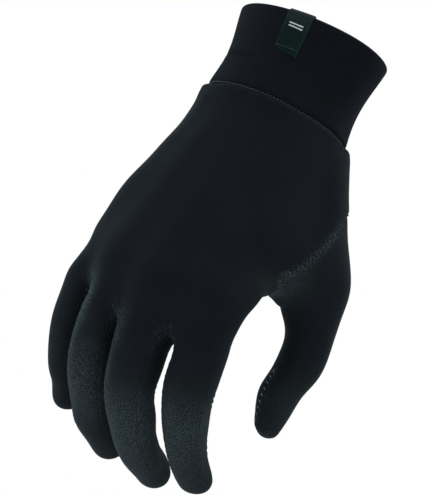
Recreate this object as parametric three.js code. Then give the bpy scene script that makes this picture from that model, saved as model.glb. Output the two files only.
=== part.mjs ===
import * as THREE from "three";

// A right-hand knitted thermal glove in its worn shape, in millimetres and degrees.
// The origin is the centre of the wrist opening, +Z runs up the forearm, the back of the hand faces -Y
// and the thumb is on the +X side.

// Cloth
const WALL = 1.2;
const SEAM_GAP = 0.34;
const FINGER_GAP = 1.3;
const FOURCHETTES = ["fourchette_little_ring", "fourchette_ring_middle", "fourchette_middle_index"];
const COLOURS = { jersey: 0x181b20, rib: 0x12151a, label: 0x152121 };

// The cuff: one row for each section, from the rim down to the seam with the hand
const CUFF_WALL = 2.4;
const CUFF_DEPTH = 38.8;
const RIM_TILT = { aboutX: 3.2, aboutY: -2.4 };
const SEAM_TILT = { aboutX: 1.2, aboutY: -1.8 };
const CUFF_SECTIONS = [
  { depth: 0.0, halfWidth: 35.5, halfDepth: 25.0 },
  { depth: 5.0, halfWidth: 34.9, halfDepth: 24.5 },
  { depth: 13.0, halfWidth: 33.0, halfDepth: 23.4 },
  { depth: 23.0, halfWidth: 32.2, halfDepth: 22.9 },
  { depth: 32.0, halfWidth: 32.4, halfDepth: 23.3 },
  { depth: 38.8, halfWidth: 33.6, halfDepth: 24.4 },
];

// The hand below the cuff: where the wrist's centre lies, and how the hand bends there
const WRIST = { x: 4.7, y: 1.1, z: -39.4, deviation: -5.2, flexion: -12.2 };
const WRIST_BULGE = 1.6;

// The four fingers in the hand's own frame, little finger first: where the knuckle lies, the spread to the
// thumb's side, the lengths of the three bones, the radii at the knuckle, the two joints and the tip, and the
// bend at each joint
const FINGERS = [
  { knuckle: [-33.3, 5.3, -77.6], spread: -7.6, bones: [34.7, 21.0, 21.0],
    radii: [11.2, 9.4, 8.2, 6.8], bend: [22.0, 31.9, 14.7] },
  { knuckle: [-16.2, -1.7, -86.0], spread: -2.4, bones: [43.3, 27.6, 23.9],
    radii: [12.1, 10.4, 9.3, 7.6], bend: [28.1, 40.7, 18.9] },
  { knuckle: [3.6, -4.0, -91.1], spread: 2.1, bones: [45.9, 29.1, 23.9],
    radii: [12.6, 10.4, 9.0, 7.7], bend: [31.6, 40.5, 20.3] },
  { knuckle: [27.7, 2.4, -87.6], spread: 0.8, bones: [41.1, 24.1, 21.6],
    radii: [12.5, 10.1, 8.7, 7.3], bend: [28.6, 34.6, 17.8] },
];
// The thumb's bones point out to its side and forward to the palm
const THUMB = {
  root: [23.7, 9.9, -14.1],
  bones: [47.1, 33.3, 32.0],
  radii: [15.6, 12.1, 10.7, 5.8],
  out: [27.0, 3.2, -10.8],
  forward: [34.5, 32.6, 24.6],
};

// The palm: how far the bones stand apart at the wrist, and the half thickness from wrist to knuckles
const PALM = { wristSpread: 13.0, wristHalf: 20.9, middleHalf: 16.3, knuckleHalf: 10.0 };
// The knuckles are flatter than the fingers below them
const KNUCKLE_EASE = 3.2;
// Between the knuckles and the webs the cloth bridges the fingers: half its thickness, and how far it reaches
const BRIDGE = { from: 10.4, to: 9.0, share: 0.24 };
// The thenar fold between thumb and palm, as shares of the thumb's first bone and the index's hand bone,
// and half its thickness at its start and its end
const THENAR = {
  onThumb: [0.1, 0.93],
  onIndex: [0.08, 0.7],
  thumbHalf: [15.2, 12.3],
  indexHalf: [16.0, 13.5],
};
// How wide the creases between skins are filled
const FILL = { hand: 4, thumb: 3, both: 6, finger: 2 };

// Where the cloth splits into fingers, as a share of each finger's first bone
const WEB_SHARES = [0.44, 0.43, 0.38];
const WEB_SLANT = 0.5;
// The thumb's crotch and the highest point of the thumb's seam, in the hand's frame
const CROTCH = new THREE.Vector3(33.5, 20.5, -72.0);
const SEAM_TOP = new THREE.Vector3(47.0, 20.0, -28.0);

// The mesh: edges across a finger's back or side, and rows down the hand
const ACROSS = 4;
const COLUMNS = FINGERS.length * ACROSS;
const RING = 4 * ACROSS;
const THUMB_EDGES = 12;
const SIDE_SPLIT = 9;
const CROTCH_ROW = 8;
const KNUCKLE_ROW = 10;
const WEB_ROW = 13;
const FINGER_RINGS = 12;
const THUMB_ROOT_RINGS = 5;
const THUMB_FREE_RINGS = 8;

const rad = THREE.MathUtils.degToRad;
const lerp = THREE.MathUtils.lerp;
const mix = (a, b, share) => a.clone().lerp(b, share);
const X_AXIS = new THREE.Vector3(1, 0, 0);
const range = (n) => Array.from({ length: n }, (_, i) => i);
const INNER = range(ACROSS - 1).map((i) => i + 1);

// The hand's frame in the glove's frame
const handFrame = new THREE.Matrix4().makeRotationY(rad(WRIST.deviation))
  .multiply(new THREE.Matrix4().makeRotationX(rad(WRIST.flexion)))
  .setPosition(WRIST.x, WRIST.y, WRIST.z);
const place = (p) => new THREE.Vector3(...p).applyMatrix4(handFrame);
const turn = (x, y, z) => new THREE.Vector3(x, y, z).transformDirection(handFrame);

// A digit is a bent line with a radius; its joints are rounded by averaging along the line. Its frame keeps
// the side of a finger and the back of the thumb
const JOINT_ROUNDING = 7;
const ROUNDING_STEPS = 3;
function makeDigit(start, directions, bones, radii, { side: lateral, back: dorsal }) {
  const joints = [start];
  directions.forEach((d, i) => joints.push(joints[i].clone().addScaledVector(d, bones[i])));
  const stations = [0, bones[0], bones[0] + bones[1], bones[0] + bones[1] + bones[2]];
  const tipRadius = radii[3];
  const equator = stations[3] - tipRadius;
  const onLine = (s) => {
    const i = s < stations[1] ? 0 : s < stations[2] ? 1 : 2;
    return joints[i].clone().addScaledVector(directions[i], s - stations[i]);
  };
  const radiusOn = (s) => {
    const stops = [0, stations[1], stations[2], equator];
    const i = s < stops[1] ? 0 : s < stops[2] ? 1 : 2;
    return lerp(radii[i], radii[i + 1], Math.min((s - stops[i]) / (stops[i + 1] - stops[i]), 1));
  };
  const samples = range(2 * ROUNDING_STEPS + 1).map((i) => (i / ROUNDING_STEPS - 1) * JOINT_ROUNDING);
  const centre = (s) => samples.reduce((sum, u) => sum.addScaledVector(onLine(s + u), 1 / samples.length),
    new THREE.Vector3());
  const radius = (s) => samples.reduce((sum, u) => sum + radiusOn(s + u) / samples.length, 0);
  const frame = (s) => {
    const tangent = centre(s + 1).sub(centre(s - 1)).normalize();
    if (dorsal) {
      const up = dorsal.clone().addScaledVector(tangent, -dorsal.dot(tangent)).normalize();
      return { tangent, up, side: new THREE.Vector3().crossVectors(up, tangent) };
    }
    const up = new THREE.Vector3().crossVectors(tangent, lateral).normalize();
    return { tangent, up, side: lateral };
  };
  // A point on the skin: angle 0 is the back of the digit, and a positive angle turns to its side
  const skin = (s, angle, past = 0) => {
    const { tangent, up, side } = frame(s);
    const r = radius(s) * Math.cos(past);
    return centre(s).addScaledVector(up, r * Math.cos(angle)).addScaledVector(side, r * Math.sin(angle))
      .addScaledVector(tangent, radius(s) * Math.sin(past));
  };
  return { joints, bones, radii, equator, tipRadius, centre, frame, skin };
}

const fingers = FINGERS.map(({ knuckle, spread: degreesOut, bones, radii, bend }) => {
  const spread = rad(degreesOut);
  let bent = 0;
  const directions = bend.map((degrees) => {
    bent += rad(degrees);
    return turn(Math.sin(spread) * Math.cos(bent), Math.sin(bent), -Math.cos(spread) * Math.cos(bent));
  });
  const side = turn(Math.cos(spread), 0, Math.sin(spread));
  return makeDigit(place(knuckle), directions, bones, radii, { side });
});

// The plane of the thumb's seam: it holds the crotch and the seam's top, and faces along the thumb
const thumbDirections = THUMB.out.map((out, i) => {
  const o = rad(out);
  const f = rad(THUMB.forward[i]);
  return turn(Math.sin(o) * Math.cos(f), Math.sin(f), -Math.cos(o) * Math.cos(f));
});
const crotch = CROTCH.clone().applyMatrix4(handFrame);
const seamTop = SEAM_TOP.clone().applyMatrix4(handFrame);
const seamUp = seamTop.clone().sub(crotch).normalize();
const seamNormal = thumbDirections[0].clone().addScaledVector(seamUp, -thumbDirections[0].dot(seamUp))
  .normalize();
const seamDorsal = new THREE.Vector3().crossVectors(seamNormal, seamUp);
const thumb = makeDigit(place(THUMB.root), thumbDirections, THUMB.bones, THUMB.radii, { back: seamDorsal });

// Distances to the skin: a bone is a cone with round ends, and a fold is a padded sheet between two lines
function bone(a, b, ra, rb) {
  const axis = b.clone().sub(a);
  const squared = axis.lengthSq();
  return (p) => {
    const t = THREE.MathUtils.clamp(p.clone().sub(a).dot(axis) / squared, 0, 1);
    return p.distanceTo(a.clone().addScaledVector(axis, t)) - lerp(ra, rb, t);
  };
}
function sheet(a0, a1, b0, b1, half) {
  const start = mix(a0, b0, 0.5);
  const axis = mix(a1, b1, 0.5).sub(start);
  const squared = axis.lengthSq();
  return (p) => {
    const t = THREE.MathUtils.clamp(p.clone().sub(start).dot(axis) / squared, 0, 1);
    const a = mix(a0, a1, t);
    const across = mix(b0, b1, t).sub(a);
    const u = THREE.MathUtils.clamp(p.clone().sub(a).dot(across) / across.lengthSq(), 0, 1);
    return p.distanceTo(a.addScaledVector(across, u)) - half(t, u);
  };
}
// A smooth union: the crease between two skins is filled over a width
function union(distances, width) {
  return (p) => distances.map((d) => d(p)).reduce((a, b) => {
    const h = Math.max(width - Math.abs(a - b), 0) / width;
    return Math.min(a, b) - h * h * width / 4;
  });
}

const wristPoints = [-1, -1 / 3, 1 / 3, 1].map((s) => place([s * PALM.wristSpread, 0, 0]));
const { wristHalf, middleHalf, knuckleHalf } = PALM;
const palmHalf = (t) => lerp(lerp(wristHalf, middleHalf, t), lerp(middleHalf, knuckleHalf, t), t);
const palmSheets = range(3).map((i) =>
  sheet(wristPoints[i], fingers[i].joints[0], wristPoints[i + 1], fingers[i + 1].joints[0], palmHalf));
const bridges = range(3).map((i) => {
  const [a, b] = [fingers[i], fingers[i + 1]];
  return sheet(a.joints[0], mix(a.joints[0], a.joints[1], BRIDGE.share), b.joints[0],
    mix(b.joints[0], b.joints[1], BRIDGE.share), (t) => lerp(BRIDGE.from, BRIDGE.to, t));
});
const fingerRoots = fingers.map((f) => bone(f.joints[0], f.joints[1], f.radii[0] - KNUCKLE_EASE, f.radii[1]));
const boneOf = ({ joints, radii }, i) => bone(joints[i], joints[i + 1], radii[i], radii[i + 1]);
const thumbBones = [boneOf(thumb, 0), boneOf(thumb, 1)];
const onThumb = THENAR.onThumb.map((share) => mix(thumb.joints[0], thumb.joints[1], share));
const onIndex = THENAR.onIndex.map((share) => mix(wristPoints[3], fingers[3].joints[0], share));
const thenar = sheet(...onThumb, ...onIndex,
  (t, u) => lerp(lerp(...THENAR.thumbHalf, t), lerp(...THENAR.indexHalf, t), u));
const handDistance = union([...palmSheets, ...bridges, ...fingerRoots], FILL.hand);
const skinDistance = union([handDistance, union([...thumbBones, thenar], FILL.thumb)], FILL.both);

// Lays a point on a skin by steps along its slope; where two skins meet the slope is held to its least value
const NUDGE = 0.05;
const LAY_STEPS = 5;
const LEAST_SLOPE = 0.2;
function layOn(distance, p) {
  for (let i = 0; i < LAY_STEPS; i += 1) {
    const slope = new THREE.Vector3(...[0, 1, 2].map((axis) => {
      const step = new THREE.Vector3().setComponent(axis, NUDGE);
      return (distance(p.clone().add(step)) - distance(p.clone().sub(step))) / (2 * NUDGE);
    }));
    p.addScaledVector(slope, -distance(p) / Math.max(slope.lengthSq(), LEAST_SLOPE));
  }
  return p;
}
// The first point of the skin on a ray from inside
const CAST_REACH = 60;
const HALVINGS = 12;
function cast(from, direction) {
  let near = 0;
  let far = 1;
  while (far < CAST_REACH && skinDistance(from.clone().addScaledVector(direction, far)) < 0) {
    near = far;
    far += 1;
  }
  for (let i = 0; i < HALVINGS; i += 1) {
    const middle = (near + far) / 2;
    if (skinDistance(from.clone().addScaledVector(direction, middle)) < 0) near = middle;
    else far = middle;
  }
  return from.clone().addScaledVector(direction, near);
}

// The glove's outer surface: points with a kind, and four-sided faces with the name of their panel
const points = [];
const kinds = [];
const owners = [];
const faces = [];
function addPoint(p, kind, owner = null) {
  points.push(p);
  kinds.push(kind);
  owners.push(owner);
  return points.length - 1;
}
function addFace(panel, a, b, c, d) {
  faces.push({ panel, corners: [a, b, c, d] });
}
// Faces between two rings or open rows; panelOf names the panel of each edge
function addBand(upper, lower, panelOf) {
  for (let i = 0; i + 1 < upper.length; i += 1) {
    addFace(panelOf(i), upper[i], lower[i], lower[i + 1], upper[i + 1]);
  }
}

const tilt = ({ aboutX, aboutY }) => new THREE.Quaternion()
  .setFromEuler(new THREE.Euler(rad(aboutX), rad(aboutY), 0, "YXZ"));
const rimTilt = tilt(RIM_TILT);
const seamTilt = tilt(SEAM_TILT);

// Ring at the cuff's seam: angle 0 is the back, and positive turns to the thumb's side
const WRIST_ANGLES = { ulnar: -65, radial: 45, radialPalm: 135, ulnarPalm: 245 };
const seamSection = CUFF_SECTIONS[CUFF_SECTIONS.length - 1];
function wristPoint(degrees) {
  const angle = rad(degrees);
  return new THREE.Vector3((seamSection.halfWidth + WRIST_BULGE / 2) * Math.sin(angle),
    -(seamSection.halfDepth + WRIST_BULGE / 2) * Math.cos(angle), -SEAM_GAP).applyQuaternion(seamTilt)
    .add(new THREE.Vector3(WRIST.x, WRIST.y, -CUFF_DEPTH));
}

// The back of a finger reaches this far round to each side, and further round over the last rings
const HALF_BACK = 52;
const HALF_BACK_TIP = 74;
const CLOSING_RINGS = 3;
function ringAngle(j, a) {
  const closing = THREE.MathUtils.smoothstep(j, FINGER_RINGS - CLOSING_RINGS, FINGER_RINGS);
  const half = lerp(HALF_BACK, HALF_BACK_TIP, closing);
  const corner = Math.floor(a / ACROSS);
  const share = (a % ACROSS) / ACROSS;
  const stops = [-half, half, 180 - half, 180 + half, 360 - half];
  return rad(lerp(stops[corner], stops[corner + 1], share));
}

// Keeps a finger's side clear of the neighbouring finger by drawing it towards its own bone
const fingerDistance = fingers.map((f) => union(range(3).map((i) => {
  const end = i === 2 ? f.centre(f.equator) : f.joints[i + 1];
  return bone(f.joints[i], end, f.radii[i], f.radii[i + 1]);
}), FILL.finger));
const APART_STEPS = 8;
const APART_SPARE = 0.02;
function keepApart(k, p, centre) {
  [k - 1, k + 1].filter((n) => fingers[n]).forEach((n) => {
    for (let i = 0; i < APART_STEPS; i += 1) {
      const lack = FINGER_GAP - (fingerDistance[n](p) - fingerDistance[k](p));
      if (lack <= 0) break;
      p.addScaledVector(centre.clone().sub(p).normalize(), lack / 2 + APART_SPARE);
    }
  });
  return p;
}

// Each finger starts at its two webs: the outer fingers repeat their one web on the outer side
const webStations = fingers.map((f, k) =>
  [Math.max(k - 1, 0), Math.min(k, 2)].map((web) => f.bones[0] * WEB_SHARES[web]));
// One row across the four fingers: back columns, palm columns and the two outer sides
function fingerRow(stations) {
  const half = rad(HALF_BACK);
  const at = (k, angle, share) => fingers[k].skin(lerp(...stations[k], share), angle);
  const column = (c, palmSide) => {
    const angleOf = (share) => {
      const angle = lerp(-half, half, share);
      return palmSide ? Math.PI - angle : angle;
    };
    const k = Math.min(Math.floor(c / ACROSS), 3);
    const share = (c - k * ACROSS) / ACROSS;
    if (share === 0 && k > 0) return mix(at(k, angleOf(0), 0), at(k - 1, angleOf(1), 1), 0.5);
    return at(k, angleOf(share), share);
  };
  const sides = INNER.map((i) => lerp(half, Math.PI - half, i / ACROSS));
  return {
    back: range(COLUMNS + 1).map((c) => column(c, false)),
    palm: range(COLUMNS + 1).map((c) => column(c, true)),
    ulnar: sides.map((angle) => at(0, -angle, 0)),
    radial: sides.map((angle) => at(3, angle, 1)),
  };
}

// Key rows of the hand
const knuckleRow = fingerRow(fingers.map(() => [0, 0]));
const webRow = fingerRow(webStations);
const { ulnar, radial, radialPalm, ulnarPalm } = WRIST_ANGLES;
const wristRow = {
  back: range(COLUMNS + 1).map((c) => wristPoint(lerp(ulnar, radial, c / COLUMNS))),
  palm: range(COLUMNS + 1).map((c) => wristPoint(lerp(ulnarPalm, radialPalm, c / COLUMNS))),
  ulnar: INNER.map((i) => wristPoint(lerp(ulnar, ulnarPalm - 360, i / ACROSS))),
};

// The thumb's seam: where its plane cuts the skin. Edge 0 starts at the crotch's back end
const seamCentre = mix(crotch, seamTop, 0.5);
const CROTCH_ANGLES = { back: 24, palm: 45 };
function seamPoint(degrees) {
  const angle = rad(degrees);
  const across = seamDorsal.clone().multiplyScalar(Math.sin(angle));
  return cast(seamCentre, across.addScaledVector(seamUp, -Math.cos(angle)));
}
const seamRing = range(THUMB_EDGES + 1).map((i) =>
  seamPoint(lerp(CROTCH_ANGLES.back, 360 - CROTCH_ANGLES.palm, i / THUMB_EDGES)));
const crotchLine = INNER.map((i) => seamPoint(lerp(CROTCH_ANGLES.back, -CROTCH_ANGLES.palm, i / ACROSS)));

// Rows of the hand from wrist to webs
const rows = [];
for (let j = 0; j <= WEB_ROW; j += 1) {
  const above = j <= KNUCKLE_ROW ? wristRow : knuckleRow;
  const below = j <= KNUCKLE_ROW ? knuckleRow : webRow;
  const share = j <= KNUCKLE_ROW ? j / KNUCKLE_ROW : (j - KNUCKLE_ROW) / (WEB_ROW - KNUCKLE_ROW);
  const kind = j === 0 ? "fixed" : j === WEB_ROW ? "web" : "skin";
  const [back, palm, outer] = ["back", "palm", "ulnar"].map((side) =>
    above[side].map((p, i) => addPoint(mix(p, below[side][i], share), kind)));
  rows.push({ back, palm, ulnar: [back[0], ...outer, palm[0]] });
}
rows[CROTCH_ROW].back[COLUMNS] = addPoint(seamRing[0], "fixed");
rows[CROTCH_ROW].palm[COLUMNS] = addPoint(seamRing[THUMB_EDGES], "fixed");
const crotchBack = points[rows[CROTCH_ROW].back[COLUMNS]];
const crotchPalm = points[rows[CROTCH_ROW].palm[COLUMNS]];
for (let j = 0; j <= WEB_ROW; j += 1) {
  const row = rows[j];
  const backEnd = row.back[COLUMNS];
  const palmEnd = row.palm[COLUMNS];
  if (j < CROTCH_ROW) {
    const share = j / CROTCH_ROW;
    points[backEnd].copy(mix(wristRow.back[COLUMNS], crotchBack, share));
    points[palmEnd].copy(mix(wristRow.palm[COLUMNS], crotchPalm, share));
  } else if (j > CROTCH_ROW && j < KNUCKLE_ROW) {
    const share = (j - CROTCH_ROW) / (KNUCKLE_ROW - CROTCH_ROW);
    points[backEnd].copy(mix(crotchBack, knuckleRow.back[COLUMNS], share));
    points[palmEnd].copy(mix(crotchPalm, knuckleRow.palm[COLUMNS], share));
  }
  if (j <= CROTCH_ROW) {
    const share = j / CROTCH_ROW;
    const kind = j === 0 || j === CROTCH_ROW ? "fixed" : "skin";
    const inner = range(THUMB_EDGES - 1).map((i) => {
      const start = wristPoint(lerp(radial, radialPalm, (i + 1) / THUMB_EDGES));
      return addPoint(mix(start, seamRing[i + 1], share), kind);
    });
    row.outer = [backEnd, ...inner, palmEnd];
  }
  if (j >= CROTCH_ROW) {
    const kind = j === CROTCH_ROW ? "fixed" : "skin";
    const toKnuckle = Math.min((j - CROTCH_ROW) / (KNUCKLE_ROW - CROTCH_ROW), 1);
    const toWeb = Math.max((j - KNUCKLE_ROW) / (WEB_ROW - KNUCKLE_ROW), 0);
    const inner = crotchLine.map((p, i) =>
      addPoint(mix(mix(p, knuckleRow.radial[i], toKnuckle), webRow.radial[i], toWeb), kind));
    row.radial = [backEnd, ...inner, palmEnd];
  }
}

// The webs: three points between the back and the palm ends of each crotch between fingers
const webLines = range(3).map((k) => {
  const backEnd = points[rows[WEB_ROW].back[(k + 1) * ACROSS]];
  const palmEnd = points[rows[WEB_ROW].palm[(k + 1) * ACROSS]];
  const along = fingers[k].frame(webStations[k][1]).tangent;
  palmEnd.addScaledVector(along, WEB_SLANT);
  return INNER.map((i) => addPoint(mix(backEnd, palmEnd, i / ACROSS), "web"));
});

// Bands of the hand; the outer side of the little finger is shared by the back and the palm
const reversed = (row) => [...row].reverse();
for (let j = 0; j < WEB_ROW; j += 1) {
  const [upper, lower] = [rows[j], rows[j + 1]];
  addBand(upper.back, lower.back, () => "back_panel");
  addBand(reversed(upper.palm), reversed(lower.palm), () => "palm_panel");
  addBand(reversed(upper.ulnar), reversed(lower.ulnar), (i) => (i < ACROSS / 2 ? "palm_panel" : "back_panel"));
  if (j < CROTCH_ROW) addBand(upper.outer, lower.outer, (i) => (i < SIDE_SPLIT ? "back_panel" : "palm_panel"));
  else addBand(upper.radial, lower.radial, () => "palm_panel");
}

// A digit's cap: a square grid inside its last ring, drawn out to the round tip
function addCap(ring, digit, panelOf) {
  const grid = range(ACROSS + 1).map(() => Array(ACROSS + 1));
  for (let i = 0; i <= ACROSS; i += 1) {
    grid[0][i] = ring[i];
    grid[i][ACROSS] = ring[ACROSS + i];
    grid[ACROSS][i] = ring[3 * ACROSS - i];
    grid[i][0] = ring[(RING - i) % RING];
  }
  const centre = digit.centre(digit.equator);
  INNER.forEach((w) => INNER.forEach((u) => {
    const acrossRow = mix(points[grid[w][0]], points[grid[w][ACROSS]], u / ACROSS);
    const downColumn = mix(points[grid[0][u]], points[grid[ACROSS][u]], w / ACROSS);
    const outward = mix(acrossRow, downColumn, 0.5).sub(centre).normalize();
    grid[w][u] = addPoint(centre.clone().addScaledVector(outward, digit.tipRadius), "tube");
  }));
  for (let w = 0; w < ACROSS; w += 1) {
    for (let u = 0; u < ACROSS; u += 1) {
      addFace(panelOf(w), grid[w][u], grid[w + 1][u], grid[w + 1][u + 1], grid[w][u + 1]);
    }
  }
}

// The last rings of a digit lie on its round tip
const TIP_LATITUDES = [0, 28];
function ringPlaces(digit, first, rings) {
  const straight = rings - TIP_LATITUDES.length;
  return range(rings).map((j) => (j < straight
    ? { s: lerp(first, digit.equator, (j + 1) / (straight + 1)), past: 0 }
    : { s: digit.equator, past: rad(TIP_LATITUDES[j - straight]) }));
}

// Bands between closed rings
function addTube(rings, panelOf) {
  for (let j = 0; j + 1 < rings.length; j += 1) {
    addBand([...rings[j], rings[j][0]], [...rings[j + 1], rings[j + 1][0]], panelOf);
  }
}

// The fingers, each from its webs to its tip
const ROOT_RINGS = 2;
fingers.forEach((finger, k) => {
  const row = rows[WEB_ROW];
  const radialSide = webLines[k] ?? row.radial.slice(1, ACROSS);
  const ulnarSide = reversed(webLines[k - 1] ?? row.ulnar.slice(1, ACROSS));
  const columns = range(ACROSS + 1).map((c) => k * ACROSS + c);
  const root = [...columns.map((c) => row.back[c]), ...radialSide, ...reversed(columns).map((c) => row.palm[c]),
    ...ulnarSide];
  // The four sides of the ring are the back, the thumb's side, the front and the little finger's side
  const panelOf = (a) => {
    if (a < ACROSS) return "back_panel";
    if (a < 2 * ACROSS) return FOURCHETTES[k] ?? "palm_panel";
    if (a < 3 * ACROSS) return "palm_panel";
    return FOURCHETTES[k - 1] ?? (a < 3.5 * ACROSS ? "palm_panel" : "back_panel");
  };
  const rings = ringPlaces(finger, lerp(...webStations[k], 0.5), FINGER_RINGS).map(({ s, past }, j) => {
    const centre = finger.centre(s);
    const kind = j < ROOT_RINGS ? "root" : "tube";
    return range(RING).map((a) =>
      addPoint(keepApart(k, finger.skin(s, ringAngle(j + 1, a), past), centre), kind, { k, centre }));
  });
  addTube([root, ...rings], panelOf);
  addCap(rings.at(-1), finger, (w) => (w < ACROSS / 2 ? "back_panel" : "palm_panel"));
});

// The thumb: rings from its seam out to where it stands free, and on to the tip. Its first column lies at its
// back, an eighth of a turn before the middle
const THUMB_FREE = 60;
function buildThumb() {
  const angles = range(RING).map((a) => rad((360 * (a - ACROSS / 2)) / RING));
  const ringAt = ({ s, past }) => angles.map((angle) => thumb.skin(s, angle, past));
  const row = rows[CROTCH_ROW];
  const root = [...row.outer, ...reversed(row.radial.slice(1, ACROSS))];
  const firstFree = { s: THUMB_FREE, past: 0 };
  const freePlaces = ringAt(firstFree);
  const bound = range(THUMB_ROOT_RINGS - 1).map((j) => root.map((v, a) =>
    addPoint(mix(points[v], freePlaces[a], (j + 1) / THUMB_ROOT_RINGS), "skin")));
  const free = [firstFree, ...ringPlaces(thumb, THUMB_FREE, THUMB_FREE_RINGS)].map((at) =>
    ringAt(at).map((p) => addPoint(p, "tube")));
  addTube([root, ...bound, ...free], () => "thumb_panel");
  addCap(free.at(-1), thumb, () => "thumb_panel");
}
buildThumb();

// Even out the hand's points and lay them back on the skin
const neighbours = points.map(() => new Set());
faces.forEach(({ corners }) => corners.forEach((v, i) => {
  neighbours[v].add(corners[(i + 1) % 4]);
  neighbours[v].add(corners[(i + 3) % 4]);
}));
const EVENING_PASSES = 12;
const EVENING_SHARE = { skin: 0.5, web: 0.3, root: 0.25 };
for (let pass = 0; pass < EVENING_PASSES; pass += 1) {
  const moved = points.map((p, v) => {
    const share = EVENING_SHARE[kinds[v]];
    if (!share) return null;
    const middle = new THREE.Vector3();
    neighbours[v].forEach((n) => middle.add(points[n]));
    return mix(p, middle.divideScalar(neighbours[v].size), share);
  });
  moved.forEach((p, v) => {
    if (!p) return;
    if (kinds[v] === "skin") layOn(skinDistance, p);
    if (kinds[v] === "root") layOn(fingerDistance[owners[v].k], p);
    if (owners[v]) keepApart(owners[v].k, p, owners[v].centre);
    points[v].copy(p);
  });
}

// Outward normals at the points
const normals = points.map(() => new THREE.Vector3());
faces.forEach(({ corners }) => {
  const [a, b, c, d] = corners.map((v) => points[v]);
  const n = new THREE.Vector3().crossVectors(c.clone().sub(a), d.clone().sub(b));
  corners.forEach((v) => normals[v].add(n));
});
const seamUpward = new THREE.Vector3(0, 0, 1).applyQuaternion(seamTilt);
const wristRing = new Set([...rows[0].back, ...rows[0].outer, ...rows[0].palm, ...rows[0].ulnar]);
wristRing.forEach((v) => normals[v].addScaledVector(seamUpward, -normals[v].dot(seamUpward)));
normals.forEach((n) => n.normalize());

// A closed solid from four-sided faces given as corners of [x, y, z] places
function solid(name, places, quads, material) {
  const geometry = new THREE.BufferGeometry().setFromPoints(places);
  const index = [];
  quads.forEach(([a, b, c, d]) => {
    // The shorter diagonal splits the face
    if (places[a].distanceTo(places[c]) <= places[b].distanceTo(places[d])) index.push(a, b, c, a, c, d);
    else index.push(a, b, d, b, c, d);
  });
  geometry.setIndex(index);
  geometry.computeVertexNormals();
  const mesh = new THREE.Mesh(geometry, material);
  mesh.name = name;
  return mesh;
}

// A panel: its outer faces, the same faces drawn in by the wall, and an edge all round
function panel(name, material) {
  const own = faces.filter((f) => f.panel === name);
  const half = new Map();
  own.forEach(({ corners }) => corners.forEach((a, i) => {
    const b = corners[(i + 1) % 4];
    half.set(`${a} ${b}`, [a, b]);
  }));
  const border = [...half.values()].filter(([a, b]) => !half.has(`${b} ${a}`));
  const inward = new Map();
  border.forEach(([a, b]) => {
    const along = points[b].clone().sub(points[a]).normalize();
    [a, b].forEach((v) => {
      const pull = new THREE.Vector3().crossVectors(normals[v], along).normalize();
      inward.set(v, (inward.get(v) ?? new THREE.Vector3()).add(pull));
    });
  });
  const used = [...new Set(own.flatMap((f) => f.corners))];
  const order = new Map(used.map((v, i) => [v, i]));
  const outer = used.map((v) => {
    const p = points[v].clone();
    if (inward.has(v)) p.addScaledVector(inward.get(v).normalize(), SEAM_GAP / 2);
    return p;
  });
  const inner = used.map((v, i) => outer[i].clone().addScaledVector(normals[v], -WALL));
  const n = used.length;
  const quads = own.map((f) => f.corners.map((v) => order.get(v)));
  const back = quads.map(([a, b, c, d]) => [d + n, c + n, b + n, a + n]);
  const edge = border.map(([a, b]) => {
    const [i, k] = [order.get(a), order.get(b)];
    return [k, i, i + n, k + n];
  });
  return solid(name, [...outer, ...inner], [...quads, ...back, ...edge], material);
}

const jersey = new THREE.MeshStandardMaterial({ color: COLOURS.jersey, roughness: 0.95, metalness: 0 });
const rib = new THREE.MeshStandardMaterial({ color: COLOURS.rib, roughness: 0.97, metalness: 0 });
const woven = new THREE.MeshStandardMaterial({ color: COLOURS.label, roughness: 0.7, metalness: 0 });

const glove = new THREE.Group();
["back_panel", "palm_panel", ...FOURCHETTES, "thumb_panel"].forEach((name) => glove.add(panel(name, jersey)));

// The cuff: sections between the rim and the seam, with a round rim where the rib is folded
const CUFF_SIDES = 48;
const RIM_RADIUS = CUFF_WALL / 2;
const CUFF_ROWS = [CUFF_DEPTH, 34, 29, 24, 19, 14, 9.5, 5];
const ROUND_STEPS = 4;
function cuffSection(depth) {
  const i = Math.max(CUFF_SECTIONS.findIndex((s) => s.depth >= depth), 1);
  const [a, b] = [CUFF_SECTIONS[i - 1], CUFF_SECTIONS[i]];
  const t = (depth - a.depth) / (b.depth - a.depth);
  return { halfWidth: lerp(a.halfWidth, b.halfWidth, t), halfDepth: lerp(a.halfDepth, b.halfDepth, t) };
}
// A point of the cuff: depth below the rim, angle from the back, and how far outside the outer skin
function cuffPoint(depth, degrees, out) {
  const angle = rad(degrees);
  const { halfWidth, halfDepth } = cuffSection(Math.max(depth, 0));
  const share = Math.max(depth, 0) / CUFF_DEPTH;
  const p = new THREE.Vector3((halfWidth + out) * Math.sin(angle), -(halfDepth + out) * Math.cos(angle), 0);
  p.applyQuaternion(rimTilt.clone().slerp(seamTilt, share));
  return p.add(new THREE.Vector3(WRIST.x * share, WRIST.y * share, -depth));
}
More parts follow.
